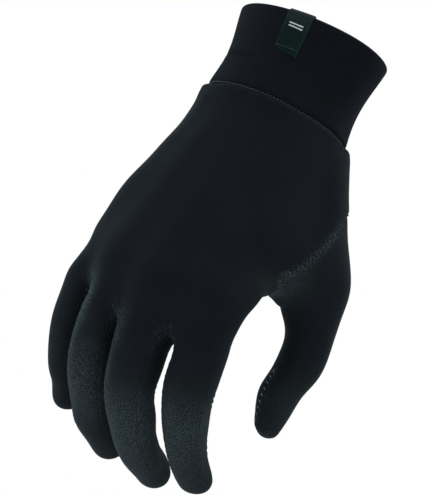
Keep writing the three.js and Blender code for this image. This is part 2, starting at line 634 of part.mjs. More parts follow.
// A half circle over the rim, round the middle of its wall, from the outside to the inside
function overRim(radius, steps) {
  return range(steps + 1).map((i) => {
    const angle = (Math.PI * i) / steps;
    return { depth: RIM_RADIUS - radius * Math.sin(angle), out: -RIM_RADIUS + radius * Math.cos(angle) };
  });
}
function buildCuff() {
  const profile = [
    ...CUFF_ROWS.map((depth) => ({ depth, out: 0 })),
    ...overRim(RIM_RADIUS, ROUND_STEPS),
    ...reversed(CUFF_ROWS).map((depth) => ({ depth, out: -CUFF_WALL })),
  ];
  const places = profile.flatMap(({ depth, out }) =>
    range(CUFF_SIDES).map((i) => cuffPoint(depth, (360 * i) / CUFF_SIDES, out)));
  const quads = [];
  profile.forEach((_, r) => {
    const next = (r + 1) % profile.length;
    range(CUFF_SIDES).forEach((i) => {
      const k = (i + 1) % CUFF_SIDES;
      quads.push([r * CUFF_SIDES + i, r * CUFF_SIDES + k, next * CUFF_SIDES + k, next * CUFF_SIDES + i]);
    });
  });
  return solid("cuff", places, quads, rib);
}
glove.add(buildCuff());

// The label: a folded strip over the rim, laid on the outside and the inside of the cuff
const LABEL = { angle: 9.3, width: 12, outside: 18.3, inside: 9, thickness: 0.7, lift: 0.3 };
const LABEL_COLUMNS = 4;
const LABEL_BEND_STEPS = 6;
const LABEL_ROWS = { outside: [LABEL.outside, 12, 8, 4], inside: [4, LABEL.inside] };
function labelPath(offset) {
  return [
    ...LABEL_ROWS.outside.map((depth) => ({ depth, out: LABEL.lift + offset })),
    ...overRim(RIM_RADIUS + LABEL.lift + offset, LABEL_BEND_STEPS),
    ...LABEL_ROWS.inside.map((depth) => ({ depth, out: -CUFF_WALL - LABEL.lift - offset })),
  ];
}
function buildLabel() {
  const loop = [...labelPath(LABEL.thickness), ...reversed(labelPath(0))];
  const spanDegrees = THREE.MathUtils.radToDeg(LABEL.width / CUFF_SECTIONS[0].halfWidth);
  const places = range(LABEL_COLUMNS + 1).flatMap((c) => {
    const degrees = LABEL.angle + spanDegrees * (c / LABEL_COLUMNS - 0.5);
    return loop.map(({ depth, out }) => cuffPoint(depth, degrees, out));
  });
  const n = loop.length;
  const quads = range(LABEL_COLUMNS).flatMap((c) => range(n).map((i) => {
    const k = (i + 1) % n;
    return [c * n + i, (c + 1) * n + i, (c + 1) * n + k, c * n + k];
  }));
  const last = LABEL_COLUMNS * n;
  for (let i = 0; i + 1 < n / 2; i += 1) {
    quads.push([i, i + 1, n - 2 - i, n - 1 - i]);
    quads.push([i, n - 1 - i, n - 2 - i, i + 1].map((v) => v + last));
  }
  return solid("label", places, quads, woven);
}
glove.add(buildLabel());

export default glove;
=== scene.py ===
# %% [markdown]
# # A knitted thermal glove
#
# The real object is a thin winter glove, cut and sewn from black stretch jersey, with a folded rib-knit
# cuff and a small woven label looped over the cuff's rim. It keeps its worn shape, with the fingers bent a
# little and the thumb off the palm. This notebook dresses the solid model of that glove in cloth: it loads
# the solids as a fixed frame, rebuilds the smooth form that they follow, adds seams, puckers, ribs and
# stitches as real geometry, and gives each kind of cloth a procedural material.

# %% Load the solid model
import heapq
import math
from functools import partial

import bpy
import numpy as np
from mathutils import Matrix, Vector, kdtree


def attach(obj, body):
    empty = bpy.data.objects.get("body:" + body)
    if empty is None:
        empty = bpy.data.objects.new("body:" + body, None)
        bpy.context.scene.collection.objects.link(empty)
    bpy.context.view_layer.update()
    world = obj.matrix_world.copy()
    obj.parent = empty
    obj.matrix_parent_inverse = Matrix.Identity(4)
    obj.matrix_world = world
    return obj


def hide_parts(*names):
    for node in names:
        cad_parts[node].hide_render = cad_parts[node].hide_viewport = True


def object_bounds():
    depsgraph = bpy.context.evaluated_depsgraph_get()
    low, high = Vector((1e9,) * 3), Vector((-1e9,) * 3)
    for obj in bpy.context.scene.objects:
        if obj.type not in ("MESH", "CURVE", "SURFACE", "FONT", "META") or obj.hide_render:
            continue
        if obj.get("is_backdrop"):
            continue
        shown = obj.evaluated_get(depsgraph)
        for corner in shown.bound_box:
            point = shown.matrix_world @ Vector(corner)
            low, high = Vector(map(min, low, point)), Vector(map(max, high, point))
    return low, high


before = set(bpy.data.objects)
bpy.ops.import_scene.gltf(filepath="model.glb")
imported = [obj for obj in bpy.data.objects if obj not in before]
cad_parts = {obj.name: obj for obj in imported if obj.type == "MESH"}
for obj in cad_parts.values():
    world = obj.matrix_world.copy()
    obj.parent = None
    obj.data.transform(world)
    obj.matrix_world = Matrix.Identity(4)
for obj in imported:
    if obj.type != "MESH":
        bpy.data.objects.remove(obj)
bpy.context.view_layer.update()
print("solids:", ", ".join(sorted(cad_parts)))

# %% [markdown]
# ## The form under the cloth
#
# A stretch glove has no form of its own, so what we model is the form that it is worn in. We could sculpt
# it freely, but it is easier to get right as bones: each digit is a bent centreline with a radius, and the
# sizes below are those of the solid model, in millimetres and degrees. Where two bones meet, the line is
# averaged over a short stretch, so the cloth turns round the joint in a soft curve.

# %% Sizes of the hand and the cuff
MM = 0.001
WALL = 1.1
FINGER_GAP = 1.3

CUFF_WALL = 2.4
CUFF_DEPTH = 38.8
RIM_TILT = (3.2, -2.4)
SEAM_TILT = (1.2, -1.8)
CUFF_SECTIONS = {
    "depth": (0.0, 5.0, 13.0, 23.0, 32.0, 38.8),
    "half_width": (35.5, 34.9, 33.0, 32.2, 32.4, 33.6),
    "half_depth": (25.0, 24.5, 23.4, 22.9, 23.3, 24.4),
}

WRIST = {"place": (4.7, 1.1, -39.4), "deviation": -5.2, "flexion": -12.2}
WRIST_BULGE = 1.6
FINGERS = {
    "little": {"knuckle": (-33.3, 5.3, -77.6), "spread": -7.6, "bones": (34.7, 21.0, 21.0),
               "radii": (11.2, 9.4, 8.2, 6.8), "bend": (22.0, 31.9, 14.7)},
    "ring": {"knuckle": (-16.2, -1.7, -86.0), "spread": -2.4, "bones": (43.3, 27.6, 23.9),
             "radii": (12.1, 10.4, 9.3, 7.6), "bend": (28.1, 40.7, 18.9)},
    "middle": {"knuckle": (3.6, -4.0, -91.1), "spread": 2.1, "bones": (45.9, 29.1, 23.9),
               "radii": (12.6, 10.4, 9.0, 7.7), "bend": (31.6, 40.5, 20.3)},
    "index": {"knuckle": (27.7, 2.4, -87.6), "spread": 0.8, "bones": (41.1, 24.1, 21.6),
              "radii": (12.5, 10.1, 8.7, 7.3), "bend": (28.6, 34.6, 17.8)},
}
THUMB = {"root": (23.7, 9.9, -14.1), "bones": (47.1, 33.3, 32.0), "radii": (15.6, 12.1, 10.7, 5.8),
         "out": (27.0, 3.2, -10.8), "forward": (34.5, 32.6, 24.6)}
PALM = {"wrist_spread": 13.0, "wrist_half": 20.9, "middle_half": 16.3, "knuckle_half": 10.0}
KNUCKLE_EASE = 3.2
BRIDGE = {"start": 10.4, "end": 9.0, "share": 0.24}
THENAR = {"on_thumb": (0.1, 0.93), "on_index": (0.08, 0.7),
          "thumb_half": (15.2, 12.3), "index_half": (16.0, 13.5)}
CROTCH = (33.5, 20.5, -72.0)
SEAM_TOP = (47.0, 20.0, -28.0)
print("fingers:", ", ".join(FINGERS))

# %% Vectors, and the hand's own frame


def unit(v):
    """The same direction with length 1."""
    return v / np.linalg.norm(v)


def units(rows):
    """Each row with length 1."""
    return rows / np.maximum(np.linalg.norm(rows, axis=1, keepdims=True), 1e-9)


def mix(a, b, share):
    """The point or value a share of the way from a to b."""
    return a + (b - a) * share


def smooth_step(x, low, high):
    """0 up to low, 1 from high on, and a soft rise between them. With low above high it falls instead."""
    t = np.clip((x - low) / (high - low), 0, 1)
    return t * t * (3 - 2 * t)


def bump_curve(x, width):
    """A soft bump of height 1 at x = 0."""
    return np.exp(-((x / width) ** 2))


def bump_at(p, place, reach):
    """A soft bump of height 1 round a place, read at points p."""
    return bump_curve(np.linalg.norm(p - place, axis=1), reach)


def run_along(line):
    """The length from the start of a line of points to each of them."""
    return np.concatenate([[0.0], np.cumsum(np.linalg.norm(np.diff(line, axis=0), axis=1))])


def edges_of(faces):
    """The edges of four-sided faces, each given once."""
    sides = [faces[:, [i, (i + 1) % 4]] for i in range(4)]
    return np.unique(np.sort(np.concatenate(sides), axis=1), axis=0)


def turned(degrees, axis):
    """The matrix of a turn about X, Y or Z."""
    return np.array(Matrix.Rotation(math.radians(degrees), 3, axis))


HAND_TURN = turned(WRIST["deviation"], "Y") @ turned(WRIST["flexion"], "X")
WRIST_PLACE = np.array(WRIST["place"])


def in_glove(point):
    """A point given in the hand's own frame, in the glove's frame."""
    return HAND_TURN @ np.array(point) + WRIST_PLACE


print("the hand bends", -WRIST["flexion"], "degrees at the wrist")

# %% Digits as bent lines with a radius
JOINT_ROUNDING = 7.0
ROUNDING_STEPS = 3
ROUNDING = [JOINT_ROUNDING * (i / ROUNDING_STEPS - 1) for i in range(2 * ROUNDING_STEPS + 1)]


class Digit:
    """A finger or the thumb. Angle 0 is its back, and a positive angle turns to the thumb's side."""

    def __init__(self, start, directions, bones, radii, side=None, back=None):
        self.joints = [start]
        for direction, bone_length in zip(directions, bones):
            self.joints.append(self.joints[-1] + bone_length * direction)
        self.directions, self.bones, self.radii = directions, bones, radii
        self.side, self.back = side, back
        self.stations = np.cumsum([0.0, *bones])
        self.tip_radius = radii[3]
        self.equator = self.stations[3] - self.tip_radius
        self.stops = [0.0, self.stations[1], self.stations[2], self.equator]

    def bone_at(self, s):
        return int(s >= self.stations[1]) + int(s >= self.stations[2])

    def centre(self, s):
        """The centreline at a length s from the knuckle, with its joints rounded."""
        total = np.zeros(3)
        for near in ROUNDING:
            i = self.bone_at(s + near)
            total += self.joints[i] + (s + near - self.stations[i]) * self.directions[i]
        return total / len(ROUNDING)

    def radius(self, s):
        total = 0.0
        for near in ROUNDING:
            i = self.bone_at(s + near)
            share = min((s + near - self.stops[i]) / (self.stops[i + 1] - self.stops[i]), 1.0)
            total += mix(self.radii[i], self.radii[i + 1], share)
        return total / len(ROUNDING)

    def axes(self, s):
        """Along the digit, out of its back, and to its side."""
        along = unit(self.centre(s + 1) - self.centre(s - 1))
        if self.back is None:
            return along, unit(np.cross(along, self.side)), self.side
        up = unit(self.back - (self.back @ along) * along)
        return along, up, np.cross(up, along)

    def skin(self, s, angle, past=0.0):
        """A point of the skin; past is the angle beyond the last full ring, over the round tip."""
        along, up, side = self.axes(s)
        r = self.radius(s)
        ring = math.cos(angle) * up + math.sin(angle) * side
        return self.centre(s) + r * math.cos(past) * ring + r * math.sin(past) * along


def make_finger(knuckle, spread, bones, radii, bend):
    spread = math.radians(spread)
    directions = []
    for bent in np.radians(np.cumsum(bend)):
        direction = (math.sin(spread) * math.cos(bent), math.sin(bent), -math.cos(spread) * math.cos(bent))
        directions.append(HAND_TURN @ np.array(direction))
    side = HAND_TURN @ np.array((math.cos(spread), 0.0, math.sin(spread)))
    return Digit(in_glove(knuckle), directions, bones, radii, side=side)


fingers = [make_finger(**sizes) for sizes in FINGERS.values()]

thumb_directions = []
for out, forward in zip(np.radians(THUMB["out"]), np.radians(THUMB["forward"])):
    direction = (math.sin(out) * math.cos(forward), math.sin(forward), -math.cos(out) * math.cos(forward))
    thumb_directions.append(HAND_TURN @ np.array(direction))
crotch = in_glove(CROTCH)
seam_top = in_glove(SEAM_TOP)
seam_up = unit(seam_top - crotch)
seam_along = unit(thumb_directions[0] - (thumb_directions[0] @ seam_up) * seam_up)
seam_back = np.cross(seam_along, seam_up)
thumb = Digit(in_glove(THUMB["root"]), thumb_directions, THUMB["bones"], THUMB["radii"], back=seam_back)
digits = [*fingers, thumb]
print("lengths of the digits in mm:", [round(d.stations[3]) for d in digits])

# %% [markdown]
# ## Skin over the bones
#
# Cloth does not follow bones into every hollow: it bridges them. So the form between the digits is a
# distance field, as in digital clay. Each bone is a cone with round ends, the palm and the fold between
# thumb and palm are padded sheets between two bones, and a smooth union fills the creases where they meet.

# %% Distance fields of the hand


def bone(a, b, radius_a, radius_b):
    """Distance to a cone with round ends."""
    axis = b - a

    def distance(p):
        t = np.clip((p - a) @ axis / (axis @ axis), 0, 1)
        return np.linalg.norm(p - a - t[:, None] * axis, axis=1) - mix(radius_a, radius_b, t)

    return distance


def sheet(a0, a1, b0, b1, half):
    """Distance to a padded sheet between the lines a and b; half gives its half thickness."""
    start = mix(a0, b0, 0.5)
    axis = mix(a1, b1, 0.5) - start

    def distance(p):
        t = np.clip((p - start) @ axis / (axis @ axis), 0, 1)
        near = mix(a0, a1, t[:, None])
        across = mix(b0, b1, t[:, None]) - near
        u = np.clip(np.sum((p - near) * across, 1) / np.sum(across * across, 1), 0, 1)
        return np.linalg.norm(p - near - u[:, None] * across, axis=1) - half(t, u)

    return distance


def union(distances, width):
    """A smooth union: the crease between two skins is filled over a width."""

    def distance(p):
        total = distances[0](p)
        for other in distances[1:]:
            d = other(p)
            h = np.maximum(width - np.abs(total - d), 0) / width
            total = np.minimum(total, d) - h * h * width / 4
        return total

    return distance


def bone_of(digit, i):
    return bone(digit.joints[i], digit.joints[i + 1], digit.radii[i], digit.radii[i + 1])


def palm_half(t, u):
    upper = mix(PALM["wrist_half"], PALM["middle_half"], t)
    return mix(upper, mix(PALM["middle_half"], PALM["knuckle_half"], t), t)


def bridge_half(t, u):
    return mix(BRIDGE["start"], BRIDGE["end"], t)


def thenar_half(t, u):
    return mix(mix(*THENAR["thumb_half"], t), mix(*THENAR["index_half"], t), u)


WEBS = len(FINGERS) - 1
INDEX, THUMB_NUMBER = WEBS, len(FINGERS)
FILL = {"hand": 4.0, "thumb": 3.0, "both": 6.0, "finger": 2.0}
wrist_points = [in_glove((s * PALM["wrist_spread"], 0.0, 0.0)) for s in (-1, -1 / 3, 1 / 3, 1)]
neighbours = [(fingers[k].joints, fingers[k + 1].joints) for k in range(WEBS)]
reach = BRIDGE["share"]
hand_parts = [sheet(wrist_points[k], a[0], wrist_points[k + 1], b[0], palm_half)
              for k, (a, b) in enumerate(neighbours)]
hand_parts += [sheet(a[0], mix(a[0], a[1], reach), b[0], mix(b[0], b[1], reach), bridge_half)
               for a, b in neighbours]
hand_parts += [bone(f.joints[0], f.joints[1], f.radii[0] - KNUCKLE_EASE, f.radii[1]) for f in fingers]
on_thumb = [mix(thumb.joints[0], thumb.joints[1], share) for share in THENAR["on_thumb"]]
on_index = [mix(wrist_points[INDEX], fingers[INDEX].joints[0], share) for share in THENAR["on_index"]]
thenar = sheet(*on_thumb, *on_index, thenar_half)
thumb_skin = union([bone_of(thumb, 0), bone_of(thumb, 1), thenar], FILL["thumb"])
skin_distance = union([union(hand_parts, FILL["hand"]), thumb_skin], FILL["both"])
print("parts of the field:", len(hand_parts) + 3)

# %% Lay points on a field, and cast rays to it
NUDGE = 0.05
LAY_STEPS = 5
LEAST_SLOPE = 0.2


def lay_on(distance, p):
    """Moves points along the field's slope until they lie on the skin."""
    p = p.copy()
    nudges = NUDGE * np.eye(3)
    for _ in range(LAY_STEPS):
        rises = [distance(p + nudge) - distance(p - nudge) for nudge in nudges]
        slope = np.stack(rises, axis=1) / (2 * NUDGE)
        size = np.maximum(np.sum(slope * slope, 1), LEAST_SLOPE)
        p -= slope * (distance(p) / size)[:, None]
    return p


CAST_REACH = 60
HALVINGS = 12


def cast(start, directions):
    """The first points of the skin on rays from inside."""
    stops = np.arange(1, CAST_REACH + 1)
    rays = start + stops[None, :, None] * directions[:, None, :]
    outside = skin_distance(rays.reshape(-1, 3)).reshape(len(directions), -1) >= 0
    far = stops[np.argmax(outside, axis=1)].astype(float)
    near = far - 1
    for _ in range(HALVINGS):
        middle = (near + far) / 2
        inside = skin_distance(start + middle[:, None] * directions) < 0
        near = np.where(inside, middle, near)
        far = np.where(inside, far, middle)
    return start + near[:, None] * directions


print("the thumb's skin lies", round(float(thumb.radius(60)), 1), "mm from its centreline below the crotch")

# %% [markdown]
# ## A cage of four-sided faces
#
# A subdivision surface gives smooth cloth from few points, if the cage is all four-sided and its lines run
# the way the cloth does: rows across the hand, columns down the fingers. The cage below has one row of
# points at the cuff's seam, runs down the hand, splits into four fingers at the webs and lets the thumb out
# at its slanted seam. Every face also knows which cut panel it belongs to, because the real glove is a
# flat-cut back, a palm, three side strips and a thumb.

# %% Names and counts of the cage
PANELS = ["back", "palm", "fourchette_little_ring", "fourchette_ring_middle", "fourchette_middle_index",
          "thumb"]
BACK, PALM_SIDE, FIRST_STRIP, THUMB_CLOTH = 0, 1, 2, 5
ACROSS = 4
HALF_WAY = ACROSS // 2
COLUMNS = len(FINGERS) * ACROSS
RING = 4 * ACROSS
THUMB_EDGES = 12
SIDE_SPLIT = 9
CROTCH_ROW, KNUCKLE_ROW, WEB_ROW = 8, 10, 13
FINGER_RINGS, THUMB_ROOT_RINGS, THUMB_FREE_RINGS = 12, 5, 8
INNER = range(1, ACROSS)
points, kinds, owners, bands = [], [], [], []


def add_points(places, kind, owner=None):
    """Adds a line of cage points and returns their numbers."""
    first = len(points)
    for place in places:
        points.append(np.array(place))
        kinds.append(kind)
        owners.append(owner)
    return list(range(first, len(points)))


def add_band(panel, upper, lower):
    """Faces between two lines of points."""
    for i in range(len(upper) - 1):
        bands.append((PANELS.index(panel), (upper[i], lower[i], lower[i + 1], upper[i + 1])))


print("columns across the hand:", COLUMNS, "and points round a finger:", RING)

# %% The key rows: wrist, knuckles and webs
SEAM_GAP = 0.34
WRIST_ANGLES = {"ulnar": -65.0, "radial": 45.0, "radial_palm": 135.0, "ulnar_palm": 245.0}
HALF_BACK, HALF_BACK_TIP, CLOSING_RINGS = 52.0, 74.0, 3
WEB_SHARES = (0.36, 0.37, 0.335)
WEB_SLANT = 0.5


def tilt(about_x, about_y):
    return turned(about_y, "Y") @ turned(about_x, "X")


def wrist_points_at(degrees):
    """Points of the hand's ring at the cuff's seam; angle 0 is the back of the hand."""
    angle = np.radians(degrees)
    half_width = CUFF_SECTIONS["half_width"][-1] + WRIST_BULGE / 2
    half_depth = CUFF_SECTIONS["half_depth"][-1] + WRIST_BULGE / 2
    drop = np.full_like(angle, -SEAM_GAP)
    ring = np.stack([half_width * np.sin(angle), -half_depth * np.cos(angle), drop], 1)
    return ring @ tilt(*SEAM_TILT).T + np.array((*WRIST["place"][:2], -CUFF_DEPTH))


def finger_row(stations):
    """One row across the four fingers: its back, its palm side and its two outer sides."""
    half = math.radians(HALF_BACK)

    def at(k, angle, share):
        return fingers[k].skin(mix(*stations[k], share), angle)

    def column(c, palm_side):
        k = min(c // ACROSS, INDEX)
        share = c / ACROSS - k
        angles = (-half, mix(-half, half, share), half)
        left, here, right = (math.pi - a if palm_side else a for a in angles)
        if share == 0 and k > 0:
            return mix(at(k, left, 0), at(k - 1, right, 1), 0.5)
        return at(k, here, share)

    sides = [mix(half, math.pi - half, i / ACROSS) for i in INNER]
    return {"back": np.array([column(c, False) for c in range(COLUMNS + 1)]),
            "palm": np.array([column(c, True) for c in range(COLUMNS + 1)]),
            "ulnar": np.array([at(0, -angle, 0) for angle in sides]),
            "radial": np.array([at(INDEX, angle, 1) for angle in sides])}


web_stations = []
for k, f in enumerate(fingers):
    web_stations.append([f.bones[0] * WEB_SHARES[web] for web in (max(k - 1, 0), min(k, WEBS - 1))])
knuckle_row = finger_row([(0.0, 0.0)] * len(fingers))
web_row = finger_row(web_stations)
even = np.arange(COLUMNS + 1) / COLUMNS
inner_shares = np.array(INNER) / ACROSS
ulnar, radial, radial_palm, ulnar_palm = WRIST_ANGLES.values()
wrist_row = {"back": wrist_points_at(mix(ulnar, radial, even)),
             "palm": wrist_points_at(mix(ulnar_palm, radial_palm, even)),
             "ulnar": wrist_points_at(mix(ulnar, ulnar_palm - 360, inner_shares))}
print("the webs lie", [round(s[1]) for s in web_stations[:WEBS]], "mm below the knuckles")

# %% The thumb's seam ring and the crotch beside it
CROTCH_ANGLES = {"back": 24.0, "palm": 45.0}
SEAM_LEAN = 0.2


def seam_points(degrees):
    """Where the thumb's seam lies on the skin: nearly in one plane, leaning back as it nears the wrist."""
    angle = np.radians(degrees)[:, None]
    lean = SEAM_LEAN * (1 - np.cos(angle)) / 2 * np.cross(seam_back, seam_up)
    return cast(mix(crotch, seam_top, 0.5), np.sin(angle) * seam_back - np.cos(angle) * seam_up + lean)


around = np.arange(THUMB_EDGES + 1) / THUMB_EDGES
seam_ring = seam_points(mix(CROTCH_ANGLES["back"], 360 - CROTCH_ANGLES["palm"], around))
crotch_line = seam_points(mix(CROTCH_ANGLES["back"], -CROTCH_ANGLES["palm"], inner_shares))
seam_length = np.linalg.norm(np.diff(seam_ring, axis=0), axis=1).sum()
print("the thumb's seam is about", round(float(seam_length)), "mm long")

# %% Rows of the hand from the wrist to the webs
rows = []
for j in range(WEB_ROW + 1):
    above, below = (wrist_row, knuckle_row) if j <= KNUCKLE_ROW else (knuckle_row, web_row)
    share = j / KNUCKLE_ROW if j <= KNUCKLE_ROW else (j - KNUCKLE_ROW) / (WEB_ROW - KNUCKLE_ROW)
    kind = "fixed" if j == 0 else "web" if j == WEB_ROW else "skin"
    back, palm, side = (add_points(mix(above[s], below[s], share), kind) for s in ("back", "palm", "ulnar"))
    rows.append({"back": back, "palm": palm, "ulnar": [back[0], *side, palm[0]]})

crotch_ends = {"back": seam_ring[0], "palm": seam_ring[-1]}
for j, row in enumerate(rows):
    ends = (row["back"][-1], row["palm"][-1])
    for end, side in zip(ends, ("back", "palm")):
        if j <= CROTCH_ROW:
            points[end] = mix(wrist_row[side][-1], crotch_ends[side], j / CROTCH_ROW)
        elif j < KNUCKLE_ROW:
            share = (j - CROTCH_ROW) / (KNUCKLE_ROW - CROTCH_ROW)
            points[end] = mix(crotch_ends[side], knuckle_row[side][-1], share)
        if j == CROTCH_ROW:
            kinds[end] = "fixed"
    if j <= CROTCH_ROW:
        start = wrist_points_at(mix(radial, radial_palm, around))
        places = mix(start, seam_ring, j / CROTCH_ROW)[1:-1]
        inner = add_points(places, "fixed" if j in (0, CROTCH_ROW) else "skin")
        row["outer"] = [ends[0], *inner, ends[1]]
    if j >= CROTCH_ROW:
        to_knuckle = min((j - CROTCH_ROW) / (KNUCKLE_ROW - CROTCH_ROW), 1)
        to_web = max((j - KNUCKLE_ROW) / (WEB_ROW - KNUCKLE_ROW), 0)
        places = mix(mix(crotch_line, knuckle_row["radial"], to_knuckle), web_row["radial"], to_web)
        inner = add_points(places, "fixed" if j == CROTCH_ROW else "skin")
        row["radial"] = [ends[0], *inner, ends[1]]

web_lines = []
for k in range(WEBS):
    back_end, palm_end = (rows[WEB_ROW][side][(k + 1) * ACROSS] for side in ("back", "palm"))
    points[palm_end] = points[palm_end] + WEB_SLANT * fingers[k].axes(web_stations[k][1])[0]
    web_lines.append(add_points([mix(points[back_end], points[palm_end], s) for s in inner_shares], "web"))

for upper, lower in zip(rows, rows[1:]):
    add_band("back", upper["back"], lower["back"])
    add_band("palm", upper["palm"][::-1], lower["palm"][::-1])
    sides = upper["ulnar"][::-1], lower["ulnar"][::-1]
    add_band("palm", sides[0][:HALF_WAY + 1], sides[1][:HALF_WAY + 1])
    add_band("back", sides[0][HALF_WAY:], sides[1][HALF_WAY:])
    if "outer" in upper and "outer" in lower:
        add_band("back", upper["outer"][:SIDE_SPLIT + 1], lower["outer"][:SIDE_SPLIT + 1])
        add_band("palm", upper["outer"][SIDE_SPLIT:], lower["outer"][SIDE_SPLIT:])
    else:
        add_band("palm", upper["radial"], lower["radial"])
print("rows of the hand:", len(rows), "with", len(bands), "faces")

# %% Fingers and thumb, ring by ring, with a round cap
TIP_LATITUDES = (0.0, 28.0)
ROOT_RINGS = 2
THUMB_FREE = 60.0


def ring_places(digit, first, rings):
    """How far along the digit each ring lies, and how far past the last full ring."""
    straight = rings - len(TIP_LATITUDES)
    places = [(mix(first, digit.equator, (j + 1) / (straight + 1)), 0.0) for j in range(straight)]
    return places + [(digit.equator, math.radians(past)) for past in TIP_LATITUDES]


def ring_angle(j, a):
    """The angle of a finger's column: its back takes a wider share of the last rings."""
    closing = smooth_step(j, FINGER_RINGS - CLOSING_RINGS, FINGER_RINGS)
    half = mix(HALF_BACK, HALF_BACK_TIP, closing)
    stops = (-half, half, 180 - half, 180 + half, 360 - half)
    corner = a // ACROSS
    return math.radians(mix(stops[corner], stops[corner + 1], a / ACROSS - corner))


finger_distance = []
for f in fingers:
    last = bone(f.joints[2], f.centre(f.equator), f.radii[2], f.radii[3])
    finger_distance.append(union([bone_of(f, 0), bone_of(f, 1), last], FILL["finger"]))

APART_STEPS, APART_SPARE = 8, 0.02


def keep_apart(k, p, centres):
    """Draws points of a finger towards its centreline until they are clear of its neighbours."""
    p = p.copy()
    for n in (k - 1, k + 1):
        if not 0 <= n < len(fingers):
            continue
        for _ in range(APART_STEPS):
            lack = FINGER_GAP - (finger_distance[n](p) - finger_distance[k](p))
            p += units(centres - p) * (np.maximum(lack, 0) / 2 + APART_SPARE * (lack > 0))[:, None]
    return p


def add_tube(rings, panel_of):
    """Bands between closed rings; panel_of names the panel of each of the ring's edges."""
    for upper, lower in zip(rings, rings[1:]):
        for a in range(RING):
            b = (a + 1) % RING
            add_band(panel_of(a), [upper[a], upper[b]], [lower[a], lower[b]])


def add_cap(ring, digit, panel_of):
    """A square grid inside the last ring, drawn out to the round tip."""
    grid = [[None] * (ACROSS + 1) for _ in range(ACROSS + 1)]
    for i in range(ACROSS + 1):
        grid[0][i] = ring[i]
        grid[i][ACROSS] = ring[ACROSS + i]
        grid[ACROSS][i] = ring[3 * ACROSS - i]
        grid[i][0] = ring[-i % RING]
    centre = digit.centre(digit.equator)
    for w in INNER:
        for u in INNER:
            across_row = mix(points[grid[w][0]], points[grid[w][ACROSS]], u / ACROSS)
            down_column = mix(points[grid[0][u]], points[grid[ACROSS][u]], w / ACROSS)
            outward = unit(mix(across_row, down_column, 0.5) - centre)
            grid[w][u] = add_points([centre + digit.tip_radius * outward], "tube")[0]
    for w in range(ACROSS):
        add_band(panel_of(w), grid[w], grid[w + 1])
    return grid


def finger_panel(k, a):
    """The panel of a finger's column: back, thumb's side, front, little finger's side."""
    if a < ACROSS:
        return "back"
    if a < 2 * ACROSS:
        return PANELS[FIRST_STRIP + k] if k < WEBS else "palm"
    if a < 3 * ACROSS:
        return "palm"
    if k > 0:
        return PANELS[FIRST_STRIP + k - 1]
    return "palm" if a < 3 * ACROSS + HALF_WAY else "back"


digit_rings, caps = [], []
for k, f in enumerate(fingers):
    row = rows[WEB_ROW]
    columns = range(k * ACROSS, (k + 1) * ACROSS + 1)
    radial_side = web_lines[k] if k < WEBS else row["radial"][1:-1]
    ulnar_side = web_lines[k - 1] if k > 0 else row["ulnar"][1:-1]
    root = [*(row["back"][c] for c in columns), *radial_side, *(row["palm"][c] for c in reversed(columns)),
            *reversed(ulnar_side)]
    rings = [root]
    stations = ring_places(f, mix(*web_stations[k], 0.5), FINGER_RINGS)
    for j, (s, past) in enumerate(stations):
        centre = f.centre(s)
        places = np.array([f.skin(s, ring_angle(j + 1, a), past) for a in range(RING)])
        kind = "root" if j < ROOT_RINGS else "tube"
        rings.append(add_points(keep_apart(k, places, centre), kind, (k, centre)))
    add_tube(rings, lambda a: finger_panel(k, a))
    caps.append(add_cap(rings[-1], f, lambda w: "back" if w < HALF_WAY else "palm"))
    digit_rings.append((rings, [web_stations[k][1], *(s + past * f.tip_radius for s, past in stations)]))


def thumb_ring(s, past=0.0):
    angles = [math.radians(360 * (a - HALF_WAY) / RING) for a in range(RING)]
    return np.array([thumb.skin(s, angle, past) for angle in angles])


thumb_root = [*rows[CROTCH_ROW]["outer"], *reversed(rows[CROTCH_ROW]["radial"][1:-1])]
root_places = np.array([points[v] for v in thumb_root])
rings = [thumb_root]
for j in range(1, THUMB_ROOT_RINGS):
    rings.append(add_points(mix(root_places, thumb_ring(THUMB_FREE), j / THUMB_ROOT_RINGS), "skin"))
free_places = [(THUMB_FREE, 0.0), *ring_places(thumb, THUMB_FREE, THUMB_FREE_RINGS)]
for s, past in free_places:
    rings.append(add_points(thumb_ring(s, past), "tube"))
add_tube(rings, lambda a: "thumb")
caps.append(add_cap(rings[-1], thumb, lambda w: "thumb"))
thumb_rings = rings
print("cage:", len(points), "points and", len(bands), "faces")

# %% [markdown]
# ## Even out the cage
#
# Points placed by rule are unevenly spaced where the fingers join the hand. A few passes that draw each
# point towards its neighbours' middle and lay it back on the field even them out, the way cloth settles.
# The points at the cuff's seam and at the thumb's seam stay where they are.

# %% Evening passes
EVENING_PASSES = 12
EVENING_SHARE = {"skin": 0.5, "web": 0.3, "root": 0.25, "fixed": 0.0, "tube": 0.0}
places = np.array(points)
quads = np.array([corners for _, corners in bands])
panel_of_quad = np.array([panel for panel, _ in bands])
edges = edges_of(quads)
share_of_point = np.array([EVENING_SHARE[kind] for kind in kinds])[:, None]
skin_ids = [i for i, kind in enumerate(kinds) if kind == "skin"]
root_ids = [[i for i, kind in enumerate(kinds) if kind == "root" and owners[i][0] == k]
            for k in range(len(fingers))]
neighbour_count = np.bincount(edges.ravel(), minlength=len(places))[:, None]
for _ in range(EVENING_PASSES):
    total = np.zeros_like(places)
    np.add.at(total, edges[:, 0], places[edges[:, 1]])
    np.add.at(total, edges[:, 1], places[edges[:, 0]])
    places = mix(places, total / neighbour_count, share_of_point)
    places[skin_ids] = lay_on(skin_distance, places[skin_ids])
    for k, ids in enumerate(root_ids):
        centres = np.array([owners[i][1] for i in ids])
        places[ids] = keep_apart(k, lay_on(finger_distance[k], places[ids]), centres)
edge_length = np.linalg.norm(places[edges[:, 0]] - places[edges[:, 1]], axis=1)
print("longest edge of the cage:", round(float(edge_length.max()), 1), "mm")

